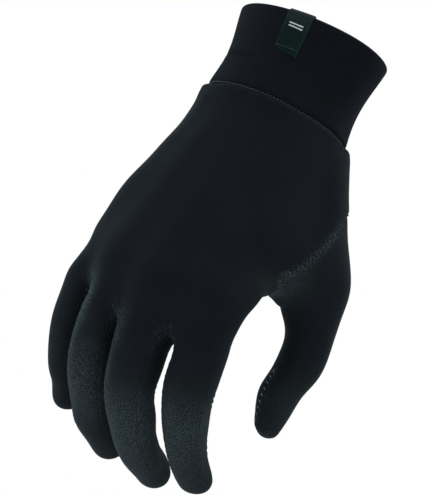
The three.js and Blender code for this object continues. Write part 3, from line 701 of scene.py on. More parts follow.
# %% [markdown]
# ## Where each point lies on the flat cloth
#
# A knit runs straight down each cut panel, whatever the hand does to it. So each point of a panel gets a
# place on the flat cloth, in millimetres: u across the knit's columns and v down them. It becomes a UV map,
# and the knit's pattern is drawn from it, so that its columns run down the hand and on down every finger.
# The thumb's panel is wrapped round and closed by a seam of its own, so its last column lies a whole turn
# away from its first.

# %% Flat places of the cage's points
THUMB_PITCH = 4.2
THUMB_WRAP = 15
THUMB_CAP_STEP = 2.0
flat = [dict() for _ in PANELS]


def lay_flat(panel, line, v, zero, start=0.0):
    """Gives a line of points their flat places; u is start at the point with number zero in the line."""
    u = run_along(places[line])
    for point, across in zip(line, u - u[zero] + start):
        flat[PANELS.index(panel)].setdefault(point, (float(across), float(v)))


row_v = [0.0]
for upper, lower in zip(rows, rows[1:]):
    down = np.linalg.norm(places[lower["back"]] - places[upper["back"]], axis=1).mean()
    row_v.append(row_v[-1] + float(down))
hand_middle = HALF_WAY + COLUMNS // 2
for v, row in zip(row_v, rows):
    outer = row.get("outer", [])
    back_line = [row["ulnar"][2], row["ulnar"][1], *row["back"], *outer[1:SIDE_SPLIT + 1]]
    lay_flat("back", back_line, v, zero=hand_middle)
    palm_line = [row["ulnar"][2], row["ulnar"][3], *row["palm"]]
    if outer:
        lay_flat("palm", [*palm_line, *outer[-2:SIDE_SPLIT - 1:-1]], v, zero=hand_middle)
    if "radial" in row:
        lay_flat("palm", [*palm_line, *row["radial"][-2::-1]], v, zero=hand_middle)

for k, (rings, stations) in enumerate(digit_rings):
    web_middle = {"back": rows[WEB_ROW]["back"][k * ACROSS + HALF_WAY],
                  "palm": rows[WEB_ROW]["palm"][k * ACROSS + HALF_WAY]}
    middles = {side: flat[PANELS.index(side)][point][0] for side, point in web_middle.items()}
    wider = HALF_WAY if k == 0 else 0
    palm_end = 2 * ACROSS if k < WEBS else ACROSS
    for ring, s in zip(rings, stations):
        v = row_v[WEB_ROW] + s - stations[0]
        back_line = [*ring[RING - wider:], *ring[:ACROSS + 1]]
        lay_flat("back", back_line, v, zero=wider + HALF_WAY, start=middles["back"])
        palm_line = ring[3 * ACROSS + wider:palm_end - 1:-1]
        lay_flat("palm", palm_line, v, zero=wider + HALF_WAY, start=middles["palm"])
        if k < WEBS:
            lay_flat(PANELS[FIRST_STRIP + k], ring[ACROSS:2 * ACROSS + 1], s - stations[0], zero=HALF_WAY)
        if k > 0:
            strip_line = [ring[0], *ring[:3 * ACROSS - 1:-1]]
            lay_flat(PANELS[FIRST_STRIP + k - 1], strip_line, stations[0] - s, zero=HALF_WAY)
    for w, line in enumerate(caps[k]):
        v = row_v[WEB_ROW] + stations[-1] - stations[0]
        step = fingers[k].tip_radius / HALF_WAY
        if w <= HALF_WAY:
            lay_flat("back", line, v + w * step, zero=HALF_WAY, start=middles["back"])
        if w >= HALF_WAY:
            lay_flat("palm", line, v + (ACROSS - w) * step, zero=HALF_WAY, start=middles["palm"])

thumb_flat = flat[THUMB_CLOTH]
for ring in thumb_rings:
    for a, point in enumerate(ring):
        s = (places[point] - thumb.joints[0]) @ thumb_directions[0]
        thumb_flat[point] = ((a - THUMB_WRAP) % RING * THUMB_PITCH, float(s))
for w, line in enumerate(caps[-1]):
    for i, point in enumerate(line):
        place = ((i - THUMB_WRAP) % RING * THUMB_PITCH, thumb.equator + w * THUMB_CAP_STEP)
        thumb_flat.setdefault(point, place)

quad_uv = np.zeros((len(quads), 4, 2))
for i, (panel, corners) in enumerate(bands):
    quad_uv[i] = [flat[panel][corner] for corner in corners]
turn_u = RING * THUMB_PITCH
across_u = np.ptp(quad_uv[:, :, 0], axis=1)
wrapped = (panel_of_quad == THUMB_CLOTH) & (across_u > turn_u / 2)
low_u = quad_uv[:, :, 0] < turn_u / 2
quad_uv[:, :, 0] += turn_u * (wrapped[:, None] & low_u)
back_length = np.ptp(quad_uv[panel_of_quad == BACK][:, :, 1])
print("the back panel is", round(float(back_length)), "mm long when flat")

# %% [markdown]
# ## Subdivide to cloth
#
# Blender's Subdivision Surface modifier turns the cage into a smooth mesh with edges about 0.6 mm long,
# fine enough to model a seam's groove and its puckers as real shape. The modifier's result is read back
# as arrays, and the modifier goes.

# %% Helpers that make and read meshes
LEVELS = 3


def make_mesh(name, vertices, faces, uv=None, material_index=None):
    """A smooth-shaded mesh object from arrays; vertices in mm, uv for each face's corners."""
    mesh = bpy.data.meshes.new(name)
    faces = np.asarray(faces)
    mesh.vertices.add(len(vertices))
    mesh.vertices.foreach_set("co", (np.asarray(vertices) * MM).astype(np.float32).ravel())
    sides = faces.shape[1]
    mesh.loops.add(faces.size)
    mesh.loops.foreach_set("vertex_index", faces.astype(np.int32).ravel())
    mesh.polygons.add(len(faces))
    mesh.polygons.foreach_set("loop_start", np.arange(0, faces.size, sides, dtype=np.int32))
    mesh.polygons.foreach_set("loop_total", np.full(len(faces), sides, dtype=np.int32))
    if material_index is not None:
        mesh.polygons.foreach_set("material_index", material_index.astype(np.int32))
    mesh.update(calc_edges=True)
    mesh.validate()
    if uv is not None:
        layer = mesh.uv_layers.new(name="flat_cloth")
        layer.data.foreach_set("uv", np.asarray(uv, dtype=np.float32).ravel())
    mesh.polygons.foreach_set("use_smooth", np.ones(len(mesh.polygons), dtype=bool))
    piece = bpy.data.objects.new(name, mesh)
    bpy.context.scene.collection.objects.link(piece)
    return piece


def read_quads(mesh):
    """A mesh of four-sided faces as arrays: vertices in mm, faces, their material index and their uv."""

    def read(rows, name, width, kind):
        values = np.empty(len(rows) * width, kind)
        rows.foreach_get(name, values)
        return values

    vertices = read(mesh.vertices, "co", 3, np.float32).reshape(-1, 3).astype(float) / MM
    corners = read(mesh.loops, "vertex_index", 1, np.int32).reshape(-1, 4)
    index = read(mesh.polygons, "material_index", 1, np.int32)
    uv = read(mesh.uv_layers[0].data, "uv", 2, np.float32).reshape(-1, 4, 2).astype(float)
    return vertices, corners, index, uv


def vertex_normals(vertices, faces):
    corners = vertices[faces]
    across = np.cross(corners[:, 2] - corners[:, 0], corners[:, 3] - corners[:, 1])
    total = np.zeros_like(vertices)
    for i in range(4):
        np.add.at(total, faces[:, i], across)
    return units(total)


cage = make_mesh("cage", places, quads, quad_uv, panel_of_quad)
for _ in PANELS:
    cage.data.materials.append(None)
modifier = cage.modifiers.new("smooth", "SUBSURF")
modifier.levels = LEVELS
smooth = cage.evaluated_get(bpy.context.evaluated_depsgraph_get())
skin, cells, cell_panel, cell_uv = read_quads(smooth.to_mesh())
smooth.to_mesh_clear()
bpy.data.objects.remove(cage)
print("smooth skin:", len(skin), "points and", len(cells), "faces in", len(np.unique(cell_panel)), "panels")

# %% [markdown]
# ## Soft forms
#
# Cones and sheets miss the small swellings and hollows that make a worn glove look alive, and they leave
# edges where they meet. So three places are softened first: each point there moves towards the middle of
# its neighbours, many times over. Each line of the longer list is one swelling or hollow: what it is, where
# it lies, how far it reaches and how high it stands. A soft bump moves the cloth along its normal, so the
# fold between thumb and palm becomes a round arch, and the slit between the middle finger and the index
# opens a little.

# %% Swellings and hollows
FORMS = [
    ("heel of the hand, under the cuff", (-25, -12, -43), 5, 1.2),
    ("hollow behind the heel", (-26, -13, -60), 12, -1.2),
    ("muscle of the little finger's side", (-28, -15, -97), 13, 1.8),
    ("hollow at the little knuckle", (-30, -16, -123), 6, -1.1),
    ("little finger, first bone", (-30, -13, -136), 8, 1.2),
    ("little finger, back of the end bone", (-27, 13, -178), 5, -0.7),
    ("little finger, tip", (-23, 22, -183), 6, 1.0),
    ("ring finger, tip", (-6, 14, -187), 7, 0.7),
    ("middle finger, tip", (22, 31, -194), 7, -0.8),
    ("gap between middle and index, at the web", (33, -13, -149.5), 7, -0.8),
    ("middle finger, first joint beside the index", (30, 0, -166), 8, -0.9),
    ("middle finger, middle bone beside the index", (29.5, 15, -175), 8, -1.1),
    ("middle finger, end joint beside the index", (28, 24, -178), 6, -0.8),
    ("middle finger, end pad beside the index", (32, 31, -186), 4.5, -0.9),
    ("middle finger, very end", (28.5, 38, -191), 6, 0.9),
    ("ring finger, very end", (2, 34, -191.5), 6, 0.7),
    ("index, thumb's side of the end bones", (52, 19, -171), 12, -1.1),
    ("index, very end", (52.3, 32, -184.5), 6, 0.9),
    ("index, thumb's side of the first bone", (49.6, -6.5, -130), 8, 0.8),
    ("index, thumb's side of the middle joint", (49.6, -6.5, -140), 9, -0.4),
    ("web on the index", (48, -7, -116), 8, 2.2),
    ("web beside the index", (43.8, 3.5, -109), 5, 1.6),
    ("web, highest part", (42.8, 17, -106), 8, 3.7),
    ("web, its middle", (42.6, 11.5, -107.3), 7, -1.6),
    ("web on the thumb", (43, 23.5, -106.5), 5, 0.9),
    ("web, edge on the back", (50, -6, -112.5), 6, 1.0),
    ("thumb, hollow beside the web", (43.2, 25, -108.4), 5, -0.5),
    ("web, its end on the thumb", (45.5, 17.5, -106), 4, 1.0),
    ("thumb, inside of the first bone", (46.5, 34, -126), 7, -0.5),
    ("thumb, hollow under the web", (45, 30, -115), 9, -2.4),
    ("thumb, inside of the end joint", (46.5, 37, -137), 8, 1.9),
    ("thumb, tip on the inside", (48, 42, -150), 5, -1.1),
    ("thumb, very end", (54.5, 46, -151.5), 4.5, 0.8),
    ("thumb, flat of the end bone", (62, 45, -131), 9, -1.7),
    ("ball of the thumb", (58, 28, -79), 14, 0.9),
    ("thumb's seam, where it leaves the back", (48.3, 20.8, -61.4), 6, 0.7),
    ("wrist on the thumb's side", (39, 10, -39), 5, 0.8),
]
SOFTENED = [
    ("web of the thumb", (43.5, 20, -106), 11, 40),
    ("tendon of the ring finger", (-12, -26, -108), 26, 90),
    ("bone of the index", (49, -6, -90), 20, 60),
]
SOFTENING = 0.9
cell_edges = edges_of(cells)
one_end, other_end = cell_edges.T
point_count = len(skin)
edge_count = np.bincount(cell_edges.ravel(), minlength=point_count)[:, None]
for name, place, reach, passes in SOFTENED:
    softness = SOFTENING * bump_at(skin, place, reach)[:, None]
    for _ in range(passes):
        sums = [np.bincount(one_end, skin[other_end, axis], point_count) +
                np.bincount(other_end, skin[one_end, axis], point_count) for axis in range(3)]
        skin = mix(skin, np.stack(sums, axis=1) / edge_count, softness)
    print("softened:", name)
normals = vertex_normals(skin, cells)
for _, place, reach, rise in FORMS:
    skin = skin + normals * (rise * bump_at(skin, place, reach))[:, None]
print("soft forms:", len(FORMS))

# %% [markdown]
# ## Find the seams
#
# A seam is wherever two flat pieces of cloth meet: where the faces beside an edge belong to different
# panels, or to the same panel at two far places of its flat cloth, as along the thumb's own side seam.
# Walking those edges end to end gives each seam as a line with a length, and a shortest-path search over
# the mesh then tells every point of cloth which seam is nearest and how far it is, measured on the cloth.

# %% Seam edges, and the lines they form
edge_start, uv_start = (np.concatenate([each[:, i] for i in range(4)]) for each in (cells, cell_uv))
edge_end, uv_end = (np.concatenate([each[:, (i + 1) % 4] for i in range(4)]) for each in (cells, cell_uv))
edge_cell = np.tile(np.arange(len(cells)), 4)
key = np.minimum(edge_start, edge_end) * len(skin) + np.maximum(edge_start, edge_end)
order = np.argsort(key, kind="stable")
key = key[order]
twin = np.flatnonzero(key[:-1] == key[1:])
first, second = order[twin], order[twin + 1]
CUT_JUMP = 1.0
same_way = (edge_start[first] == edge_start[second])[:, None]
uv_jump = np.abs(uv_start[first] - np.where(same_way, uv_start[second], uv_end[second])).max(axis=1)
panels_met = np.sort(np.stack([cell_panel[edge_cell[first]], cell_panel[edge_cell[second]]], 1), axis=1)
is_seam = (panels_met[:, 0] != panels_met[:, 1]) | (uv_jump > CUT_JUMP)
seam_edges = {}
for e, (one, other) in zip(first[is_seam], panels_met[is_seam]):
    seam_edges.setdefault((int(one), int(other)), []).append((int(edge_start[e]), int(edge_end[e])))
alone = np.ones(len(key), dtype=bool)
alone[twin] = False
alone[twin + 1] = False
WRIST_SEAM = (-1, -1)
seam_edges[WRIST_SEAM] = [(int(edge_start[e]), int(edge_end[e])) for e in order[alone]]


def walk(pairs):
    """Joins edges end to end into lines of points."""
    links = {}
    for a, b in pairs:
        links.setdefault(a, []).append(b)
        links.setdefault(b, []).append(a)
    lines = []
    starts = [v for v, near in links.items() if len(near) == 1] + list(links)
    for start in starts:
        while links.get(start):
            line = [start]
            while links.get(line[-1]):
                here = line[-1]
                following = links[here].pop(0)
                links[following].remove(here)
                line.append(following)
            lines.append(line)
    return lines


seams = []
for panels, pairs in sorted(seam_edges.items()):
    for line in walk(pairs):
        at = run_along(skin[line])
        seams.append({"panels": panels, "line": line, "at": at, "length": float(at[-1])})
for seam in seams:
    names = [PANELS[i] if i >= 0 else "cuff" for i in seam["panels"]]
    print("seam between", " and ".join(names), "is", round(seam["length"]), "mm long")

# %% Distance from every point of cloth to its nearest seam
SEAM_REACH = 13.5
edge_size = np.linalg.norm(skin[cell_edges[:, 0]] - skin[cell_edges[:, 1]], axis=1)
near_points = [[] for _ in range(len(skin))]
for (a, b), size in zip(cell_edges.tolist(), edge_size.tolist()):
    near_points[a].append((b, size))
    near_points[b].append((a, size))

stops = [(s, i) for s, seam in enumerate(seams) for i in range(len(seam["line"]))]
stop_point = np.array([seams[s]["line"][i] for s, i in stops])
stop_length = np.array([seams[s]["at"][i] for s, i in stops])
stop_seam = np.array([s for s, _ in stops])
stop_along = np.concatenate([units(np.gradient(skin[seam["line"]], axis=0)) for seam in seams])
best = np.full(len(skin), np.inf)
nearest = np.full(len(skin), -1)
queue = []
for number, point in enumerate(stop_point.tolist()):
    if best[point] > 0:
        best[point], nearest[point] = 0.0, number
        heapq.heappush(queue, (0.0, point))
while queue:
    reach, point = heapq.heappop(queue)
    if reach > best[point] or reach > SEAM_REACH:
        continue
    for other, size in near_points[point]:
        if reach + size < best[other]:
            best[other], nearest[other] = reach + size, nearest[point]
            heapq.heappush(queue, (reach + size, other))
by_seam = np.flatnonzero(nearest >= 0)
stop = nearest[by_seam]
offset = skin[by_seam] - skin[stop_point[stop]]
along = np.sum(offset * stop_along[stop], 1)
seam_distance = np.linalg.norm(offset - along[:, None] * stop_along[stop], axis=1)
seam_place = stop_length[stop] + along
print(len(by_seam), "points lie near a seam")

# %% [markdown]
# ## Seams, puckers and folds as shape
#
# On the real glove each seam is turned in and pulls the cloth down into a narrow groove with a soft lip on
# both sides. The thread is a little too tight, so the cloth puckers in short waves along the seam, most of
# all round the thumb and where the fingers part. Bending the fingers bunches the cloth inside each joint.
# All of this is added to the smooth skin as a height along its normal, so each kind of detail is one line.

# %% Where each point of the skin lies on its digit
SAMPLE_STEP = 0.8
normals = vertex_normals(skin, cells)
samples, sample_data = [], []
for number, digit in enumerate(digits):
    for s in np.arange(0.0, digit.stations[3], SAMPLE_STEP):
        _, up, side = digit.axes(s)
        samples.append(digit.centre(s))
        sample_data.append((number, s, *up, *side))
tree = kdtree.KDTree(len(samples))
for i, place in enumerate(samples):
    tree.insert(place, i)
tree.balance()
sample_data = np.array(sample_data)[[tree.find(p)[1] for p in skin]]
on_digit, on_length = sample_data[:, 0], sample_data[:, 1]
front = -np.sum(sample_data[:, 2:5] * normals, 1)
sideways = np.sum(sample_data[:, 5:8] * normals, 1)
print("points on each digit:", [int((on_digit == number).sum()) for number in range(len(digits))])

# %% [markdown]
# Two things tell the eye that this cloth is pulled over a form. Where it is stretched, the loops open, so
# the cloth looks paler and its grain shows; the same number also carries painted light, which makes the
# thumb, the fingers, their lit edges and patches round the thumb's web paler. Where two fingers lie side by
# side, painted shade darkens the fuzz between them. Both are worked out here as a number from 0 to 1 for
# every point of the cloth, and the jersey's material reads them later. Such numbers stay on the cloth in
# any view and any light.

# %% How far the cloth is stretched, and where light is painted on it
# Each finger's stretch rises along it; the same ramp also paints light on the fingers, so they come out
# paler than the back.
FINGER_STRETCH_AND_LIGHT = {
    "little": {"most": 0.5, "from": 2.0, "to": 32.0, "lost_at_tip": 0.1},
    "ring": {"most": 0.97, "from": 12.0, "to": 50.0, "lost_at_tip": 0.75},
    "middle": {"most": 0.92, "from": 22.0, "to": 54.0, "lost_at_tip": 0.3},
    "index": {"most": 0.93, "from": 16.0, "to": 50.0, "lost_at_tip": 0.26},
}
TIP_REACH = 24.0
# The thumb's cloth is made paler all over as painted light, more towards its tip.
THUMB_STRETCH_AND_LIGHT = {"least": 0.2, "more": 0.45, "from": 70.0, "to": 94.0}
INDEX_SIDE_LOSS = 0.3
FRONT_SHARE = 0.55
facing_little = smooth_step(sideways, -0.2, -0.9)
on_thumb_cloth = np.zeros(len(skin))
on_thumb_cloth[np.unique(cells[cell_panel == THUMB_CLOTH])] = 1.0
# Patches of painted light: round the thumb's web, and on the lit sides of the ring and middle fingers that
# face the little finger.
PULLED_AND_LIT = [
    ("thumb, beside its web", (53, 5, -96), 12, 0.48, on_thumb_cloth),
    ("web, on the thumb's side", (44, 9, -106), 8, 0.4, 1.0),
    ("web, on the index's side", (49, -4, -108), 8, 0.7, 1.0),
    ("ring finger, first joint", (-8.3, -20.6, -151.6), 16, 0.9, facing_little),
    ("ring finger, before the first joint", (-10.2, -21.0, -144.0), 7, 0.9, facing_little),
    ("middle finger, first joint", (16.2, -21.3, -159.9), 16, 0.9, facing_little),
]
stretch_and_painted_light = np.zeros(len(skin))
for number, (name, digit) in enumerate(zip(FINGERS, fingers)):
    pull = FINGER_STRETCH_AND_LIGHT[name]
    pulled_and_lit = pull["most"] * smooth_step(on_length, pull["from"], pull["to"])
    lost = pull["lost_at_tip"] * bump_at(skin, digit.centre(digit.equator), TIP_REACH)
    stretch_and_painted_light += (pulled_and_lit - lost) * (on_digit == number)
rise = smooth_step(on_length, THUMB_STRETCH_AND_LIGHT["from"], THUMB_STRETCH_AND_LIGHT["to"])
stretch_and_painted_light += (THUMB_STRETCH_AND_LIGHT["least"] + THUMB_STRETCH_AND_LIGHT["more"] * rise) * on_thumb_cloth
for _, place, reach, more, where in PULLED_AND_LIT:
    stretch_and_painted_light += more * bump_at(skin, place, reach) * where
stretch_and_painted_light -= INDEX_SIDE_LOSS * facing_little * (on_digit == INDEX)
stretch_and_painted_light = np.clip(stretch_and_painted_light, 0, 1) * mix(1.0, FRONT_SHARE, smooth_step(front, 0.0, 0.8))
print("stretched cloth:", round(100 * float((stretch_and_painted_light > 0.5).mean())), "% of the skin")

# %% Painted shade between neighbouring fingers
# A finger's side that faces its neighbour is darkened with painted shade, most where the gap is narrow.
CROOKS = [{"reach": 7.5, "shade": 1.0}, {"reach": 6.0, "shade": 0.9}, {"reach": 5.0, "shade": 0.15}]
CROOK_START = 10.0
crook = np.zeros(len(skin))
for k, nook in enumerate(CROOKS):
    here = np.flatnonzero((on_digit == k) & (sideways > 0) & (on_length > CROOK_START))
    gap = np.maximum(finger_distance[k + 1](skin[here]), 0)
    crook[here] = nook["shade"] * smooth_step(sideways[here], 0.0, 0.5) * bump_curve(gap, nook["reach"])
print("cloth in a neighbour's shade:", round(100 * float((crook > 0.3).mean()), 1), "% of the skin")

# %% [markdown]
# The kinds of seam differ. The thumb's set-in seam and the cuff's are the strongest. The thumb's own side
# seam shows pale stitches near the tip, whose pale thread is a painted glint, and lies flat elsewhere.
# Where the set-in seam crosses the outline on the back it is nearly level, so its groove and puckers fade
# there. Near the webs and along the pulled seams, pale specks show, partly light fibres of the inside
# showing through and partly painted glints, which is one more number on the cloth. Painted glints of the
# same kind lie on three short lines on the ring and the middle finger. Each line is given by its two ends
# and its strength.

# %% Heights along the seams
SEAM_STYLES = {
    "cuff": {"depth": 1.0, "width": 0.75, "lip": 0.2, "pucker": 0.1, "pitch": 3.4, "reach": 4.0},
    "thumb": {"depth": 0.22, "width": 0.6, "lip": 0.3, "pucker": 0.2, "pitch": 2.4, "reach": 3.4},
    "thumb_side": {"depth": 0.3, "width": 0.55, "lip": 0.1, "pucker": 0.08, "pitch": 3.0, "reach": 3.0},
    "strip": {"depth": 0.3, "width": 0.5, "lip": 0.1, "pucker": 0.12, "pitch": 2.9, "reach": 3.0},
    "side": {"depth": 0.14, "width": 0.5, "lip": 0.06, "pucker": 0.07, "pitch": 3.6, "reach": 3.0},
}
LIP = {"at": 1.7, "width": 1.0}
CALM = {"share": 0.6, "width": 0.8}
PHASE_STEP, GROOVE_SWING = 1.7, 0.3
FLAT_SIDE = 0.12
LEVEL_SEAM = {"place": (48.5, 19.3, -60.3), "reach": 9.0, "share": 0.9}
SIDE_STITCHES = {"middle": (50.4, 33.8, -138.5), "reach": 12.8}
BEYOND_WEB = (22.0, 34.0)
SEAM_SPECKS_AND_GLINTS = {"cuff": 0.0, "thumb": 0.6, "thumb_side": 0.45, "strip": 0.25, "side": 0.1}
SPECKLE_WIDTH = 2.0
WEB_PULLS = (2.4, 1.4, 0.5)
WEB_PULL_REACH = 9.0
CROTCH_PULL = {"more": 0.5, "reach": 16.0}
TIP_PULL = {"more": 0.6, "reach": 9.0}


def kind_of(panels):
    """Which kind of seam joins two panels."""
    if panels == WRIST_SEAM:
        return "cuff"
    if panels == (THUMB_CLOTH, THUMB_CLOTH):
        return "thumb_side"
    if THUMB_CLOTH in panels:
        return "thumb"
    return "side" if panels == (BACK, PALM_SIDE) else "strip"


def wave(s, pitch, phase):
    """A wave of uneven length and height, as puckers are."""
    swing = 1.3 * np.sin(2 * np.pi * s / (3.7 * pitch) + phase)
    size = 0.72 + 0.28 * np.sin(2 * np.pi * s / (2.3 * pitch) + 2 * phase)
    return size * np.sin(2 * np.pi * s / pitch + swing + 3 * phase)


web_backs = [places[rows[WEB_ROW]["back"][(k + 1) * ACROSS]] for k in range(WEBS)]
tips = [d.centre(d.equator) + d.tip_radius * d.axes(d.equator)[0] for d in digits]
tight_places = [(web, pull, WEB_PULL_REACH) for web, pull in zip(web_backs, WEB_PULLS)]
tight_places.append((crotch, CROTCH_PULL["more"], CROTCH_PULL["reach"]))
tight_places += [(tip, TIP_PULL["more"], TIP_PULL["reach"]) for tip in tips]
tight = np.ones(len(by_seam))
for place, more, reach in tight_places:
    tight += more * bump_at(skin[by_seam], place, reach)
# Painted glints: three short lines of pale specks on the ring and middle fingers.
GLINTS = [
    ((-15.2, -20.0, -136.8), (-11.8, -21.3, -139.2), 0.7),
    ((-11.2, -21.6, -139.4), (-8.6, -20.0, -153.5), 0.95),
    ((12.2, -24.7, -147.0), (13.5, -22.4, -155.5), 0.4),
]
GLINT_REACH = 3.8
specks_and_painted_glints = np.zeros(len(skin))
for start, end, strength in GLINTS:
    run = np.subtract(end, start)
    share = np.clip((skin - start) @ run / (run @ run), 0, 1)
    distance = np.linalg.norm(skin - start - share[:, None] * run, axis=1)
    specks_and_painted_glints = np.maximum(specks_and_painted_glints, strength * bump_curve(distance, GLINT_REACH))
print("pull of the thread: 1 to", round(float(tight.max()), 1))

# %% Grooves, lips and puckers
height = np.zeros(len(skin))
beyond_web = smooth_step(on_length, *BEYOND_WEB) * (on_digit < THUMB_NUMBER)
plain_side = np.maximum(beyond_web, on_digit == INDEX)
presence = mix(1.0, FLAT_SIDE, smooth_step(sideways, 0.1, 0.5) * plain_side)
presence *= 1 - LEVEL_SEAM["share"] * bump_at(skin, LEVEL_SEAM["place"], LEVEL_SEAM["reach"])
from_stitches = np.linalg.norm(skin - SIDE_STITCHES["middle"], axis=1)
flat_thumb = (on_digit == THUMB_NUMBER) & (from_stitches > SIDE_STITCHES["reach"])
for number, seam in enumerate(seams):
    kind = seam["kind"] = kind_of(seam["panels"])
    style = SEAM_STYLES[kind]
    here = stop_seam[stop] == number
    ids, d, s, pull = by_seam[here], seam_distance[here], seam_place[here], tight[here]
    puckers = wave(s, style["pitch"], PHASE_STEP * number) * style["pucker"] * pull
    groove = -style["depth"] * bump_curve(d, style["width"]) * (1 + GROOVE_SWING * puckers)
    groove += style["lip"] * bump_curve(d - LIP["at"], LIP["width"])
    in_groove = CALM["share"] * bump_curve(d, CALM["width"])
    groove += puckers * bump_curve(d, style["reach"]) * (1 - in_groove)
    if kind == "thumb_side":
        presence[ids[flat_thumb[ids]]] = FLAT_SIDE
    height[ids] += groove * presence[ids]
    # Pale specks along the seams, partly light fibres and partly painted glints.
    flecks = SEAM_SPECKS_AND_GLINTS[kind] * bump_curve(d, SPECKLE_WIDTH) * pull * presence[ids]
    specks_and_painted_glints[ids] = np.maximum(specks_and_painted_glints[ids], flecks)
print("deepest groove:", round(float(-height.min()), 2), "mm")

# %% Heights of the folds away from the seams
SKIN_EASE = 0.35
UNEVENNESS = 0.22
JOINT_FOLDS = {"height": 0.42, "pitch": 3.4, "reach": 4.6, "end": 16.0, "wander": 0.7}
WEB_PUCKERS = {"height": 0.25, "rays": 7, "reach": 5.5, "end": 14.0}


def uneven(p):
    """Slow unevenness of a few tenths of a millimetre, from a handful of waves in different directions."""
    total = np.zeros(len(p))
    for i in range(6):
        direction = np.array([math.sin(2.4 * i + 0.3), math.cos(1.7 * i), math.sin(1.1 * i + 2.0)])
        total += np.sin(p @ unit(direction) * 2 * np.pi / (13.0 + 4.1 * i) + 1.9 * i)
    return total / 6


for number, digit in enumerate(digits):
    for joint in (digit.stations[1], digit.stations[2]):
        here = (on_digit == number) & (np.abs(on_length - joint) < JOINT_FOLDS["end"])
        s = on_length[here] - joint + JOINT_FOLDS["wander"] * np.sin(4 * front[here] + number + joint)
        folds = np.cos(2 * np.pi * s / JOINT_FOLDS["pitch"]) * bump_curve(s, JOINT_FOLDS["reach"])
        height[here] += JOINT_FOLDS["height"] * folds * smooth_step(front[here], 0.15, 0.9)

for k, web in enumerate(web_backs):
    along_web = fingers[k].axes(web_stations[k][1])[0]
    out_of_back = fingers[k].axes(0.0)[1]
    across_web = np.cross(out_of_back, along_web)
    offset = skin - web
    distance = np.linalg.norm(offset, axis=1)
    near = np.flatnonzero((distance < WEB_PUCKERS["end"]) & (normals @ out_of_back > -0.2))
    angle = np.arctan2(offset[near] @ across_web, offset[near] @ along_web)
    rays = np.cos(WEB_PUCKERS["rays"] * angle + k) * smooth_step(distance[near], 0.5, 2.5)
    height[near] += WEB_PUCKERS["height"] * rays * bump_curve(distance[near], WEB_PUCKERS["reach"])

height += SKIN_EASE + UNEVENNESS * uneven(skin)
cloth = skin + normals * height[:, None]
cloth_normals = vertex_normals(cloth, cells)
print("cloth heights run from", round(float(height.min()), 2), "to", round(float(height.max()), 2), "mm")

# %% [markdown]
# ## Cut the cloth into its panels
#
# Each panel becomes an object of its own, as thick as the cloth: its outer faces, the same faces moved in
# by the cloth's thickness, and a strip that closes the edge all round. At a seam both panels dive into the
# groove and stop a hair apart, as two turned-in edges do.

# %% One object for each panel
EDGE_GAP = 0.03
jersey_pieces = []


def cut_panel(name, node, number):
    """The cloth of one panel as a closed wall, which stands for the solid named node."""
    own = np.flatnonzero(cell_panel == number)
    used, faces = np.unique(cells[own], return_inverse=True)
    faces = faces.reshape(-1, 4)
    uv = cell_uv[own]
    start = faces.ravel()
    end = np.roll(faces, -1, axis=1).ravel()
    size = len(used)
    forward = start * size + end
    border = np.flatnonzero(~np.isin(forward, end * size + start))
    outer = cloth[used].copy()
    edge_points = np.unique(np.concatenate([start[border], end[border]]))
    middles = np.zeros_like(outer)
    counts = np.zeros(size)
    for i in range(4):
        np.add.at(middles, faces[:, i], outer[faces].mean(axis=1))
        np.add.at(counts, faces[:, i], 1)
    inward = units(middles[edge_points] / counts[edge_points, None] - outer[edge_points])
    outer[edge_points] += EDGE_GAP * inward
    inner = outer - WALL * cloth_normals[used]
    a, b = start[border], end[border]
    strip = np.stack([b, a, a + size, b + size], axis=1)
    uv_a = uv.reshape(-1, 2)[border]
    uv_b = np.roll(uv, -1, axis=1).reshape(-1, 2)[border]
    strip_uv = np.stack([uv_b, uv_a, uv_a, uv_b], axis=1)
    all_faces = np.concatenate([faces, faces[:, ::-1] + size, strip])
    all_uv = np.concatenate([uv, uv[:, ::-1], strip_uv])
    piece = make_mesh(name, np.concatenate([outer, inner]), all_faces, all_uv)
    # Stored for the material: the stretch with its painted light, the pale specks with their painted
    # glints, and the painted shade between fingers.
    for attribute, values in (("stretch_and_painted_light", stretch_and_painted_light), ("specks_and_painted_glints", np.clip(specks_and_painted_glints, 0, 1)), ("crook", crook)):
        layer = piece.data.attributes.new(attribute, "FLOAT", "POINT")
        layer.data.foreach_set("value", np.tile(values[used], 2).astype(np.float32))
    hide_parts(node)
    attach(piece, "root")
    jersey_pieces.append(piece)
    print(name, "has", 2 * len(all_faces), "triangles")


for number, panel in enumerate(PANELS):
    cut_panel("jersey_" + panel, panel if "fourchette" in panel else panel + "_panel", number)

# %% [markdown]
# ## Thread
#
# Up close a seam is held by short bars of twisted thread that cross it. They are made as one joined mesh
# for each kind of seam: a thin arched tube, repeated along the seam by a loop. Thread of 0.3 mm would be
# thinner than a pixel in the picture, so it is drawn a little stouter, at 0.34 mm.

# %% Stitches along a line
THREAD_RADIUS = 0.17
THREAD_SIDES = 6
ARCH_STEPS = 6


def tube_faces(upper, lower):
    """Four-sided faces between rows of closed rings."""
    corners = [upper, np.roll(upper, -1, axis=1), np.roll(lower, -1, axis=1), lower]
    return np.stack(corners, axis=-1).reshape(-1, 4)


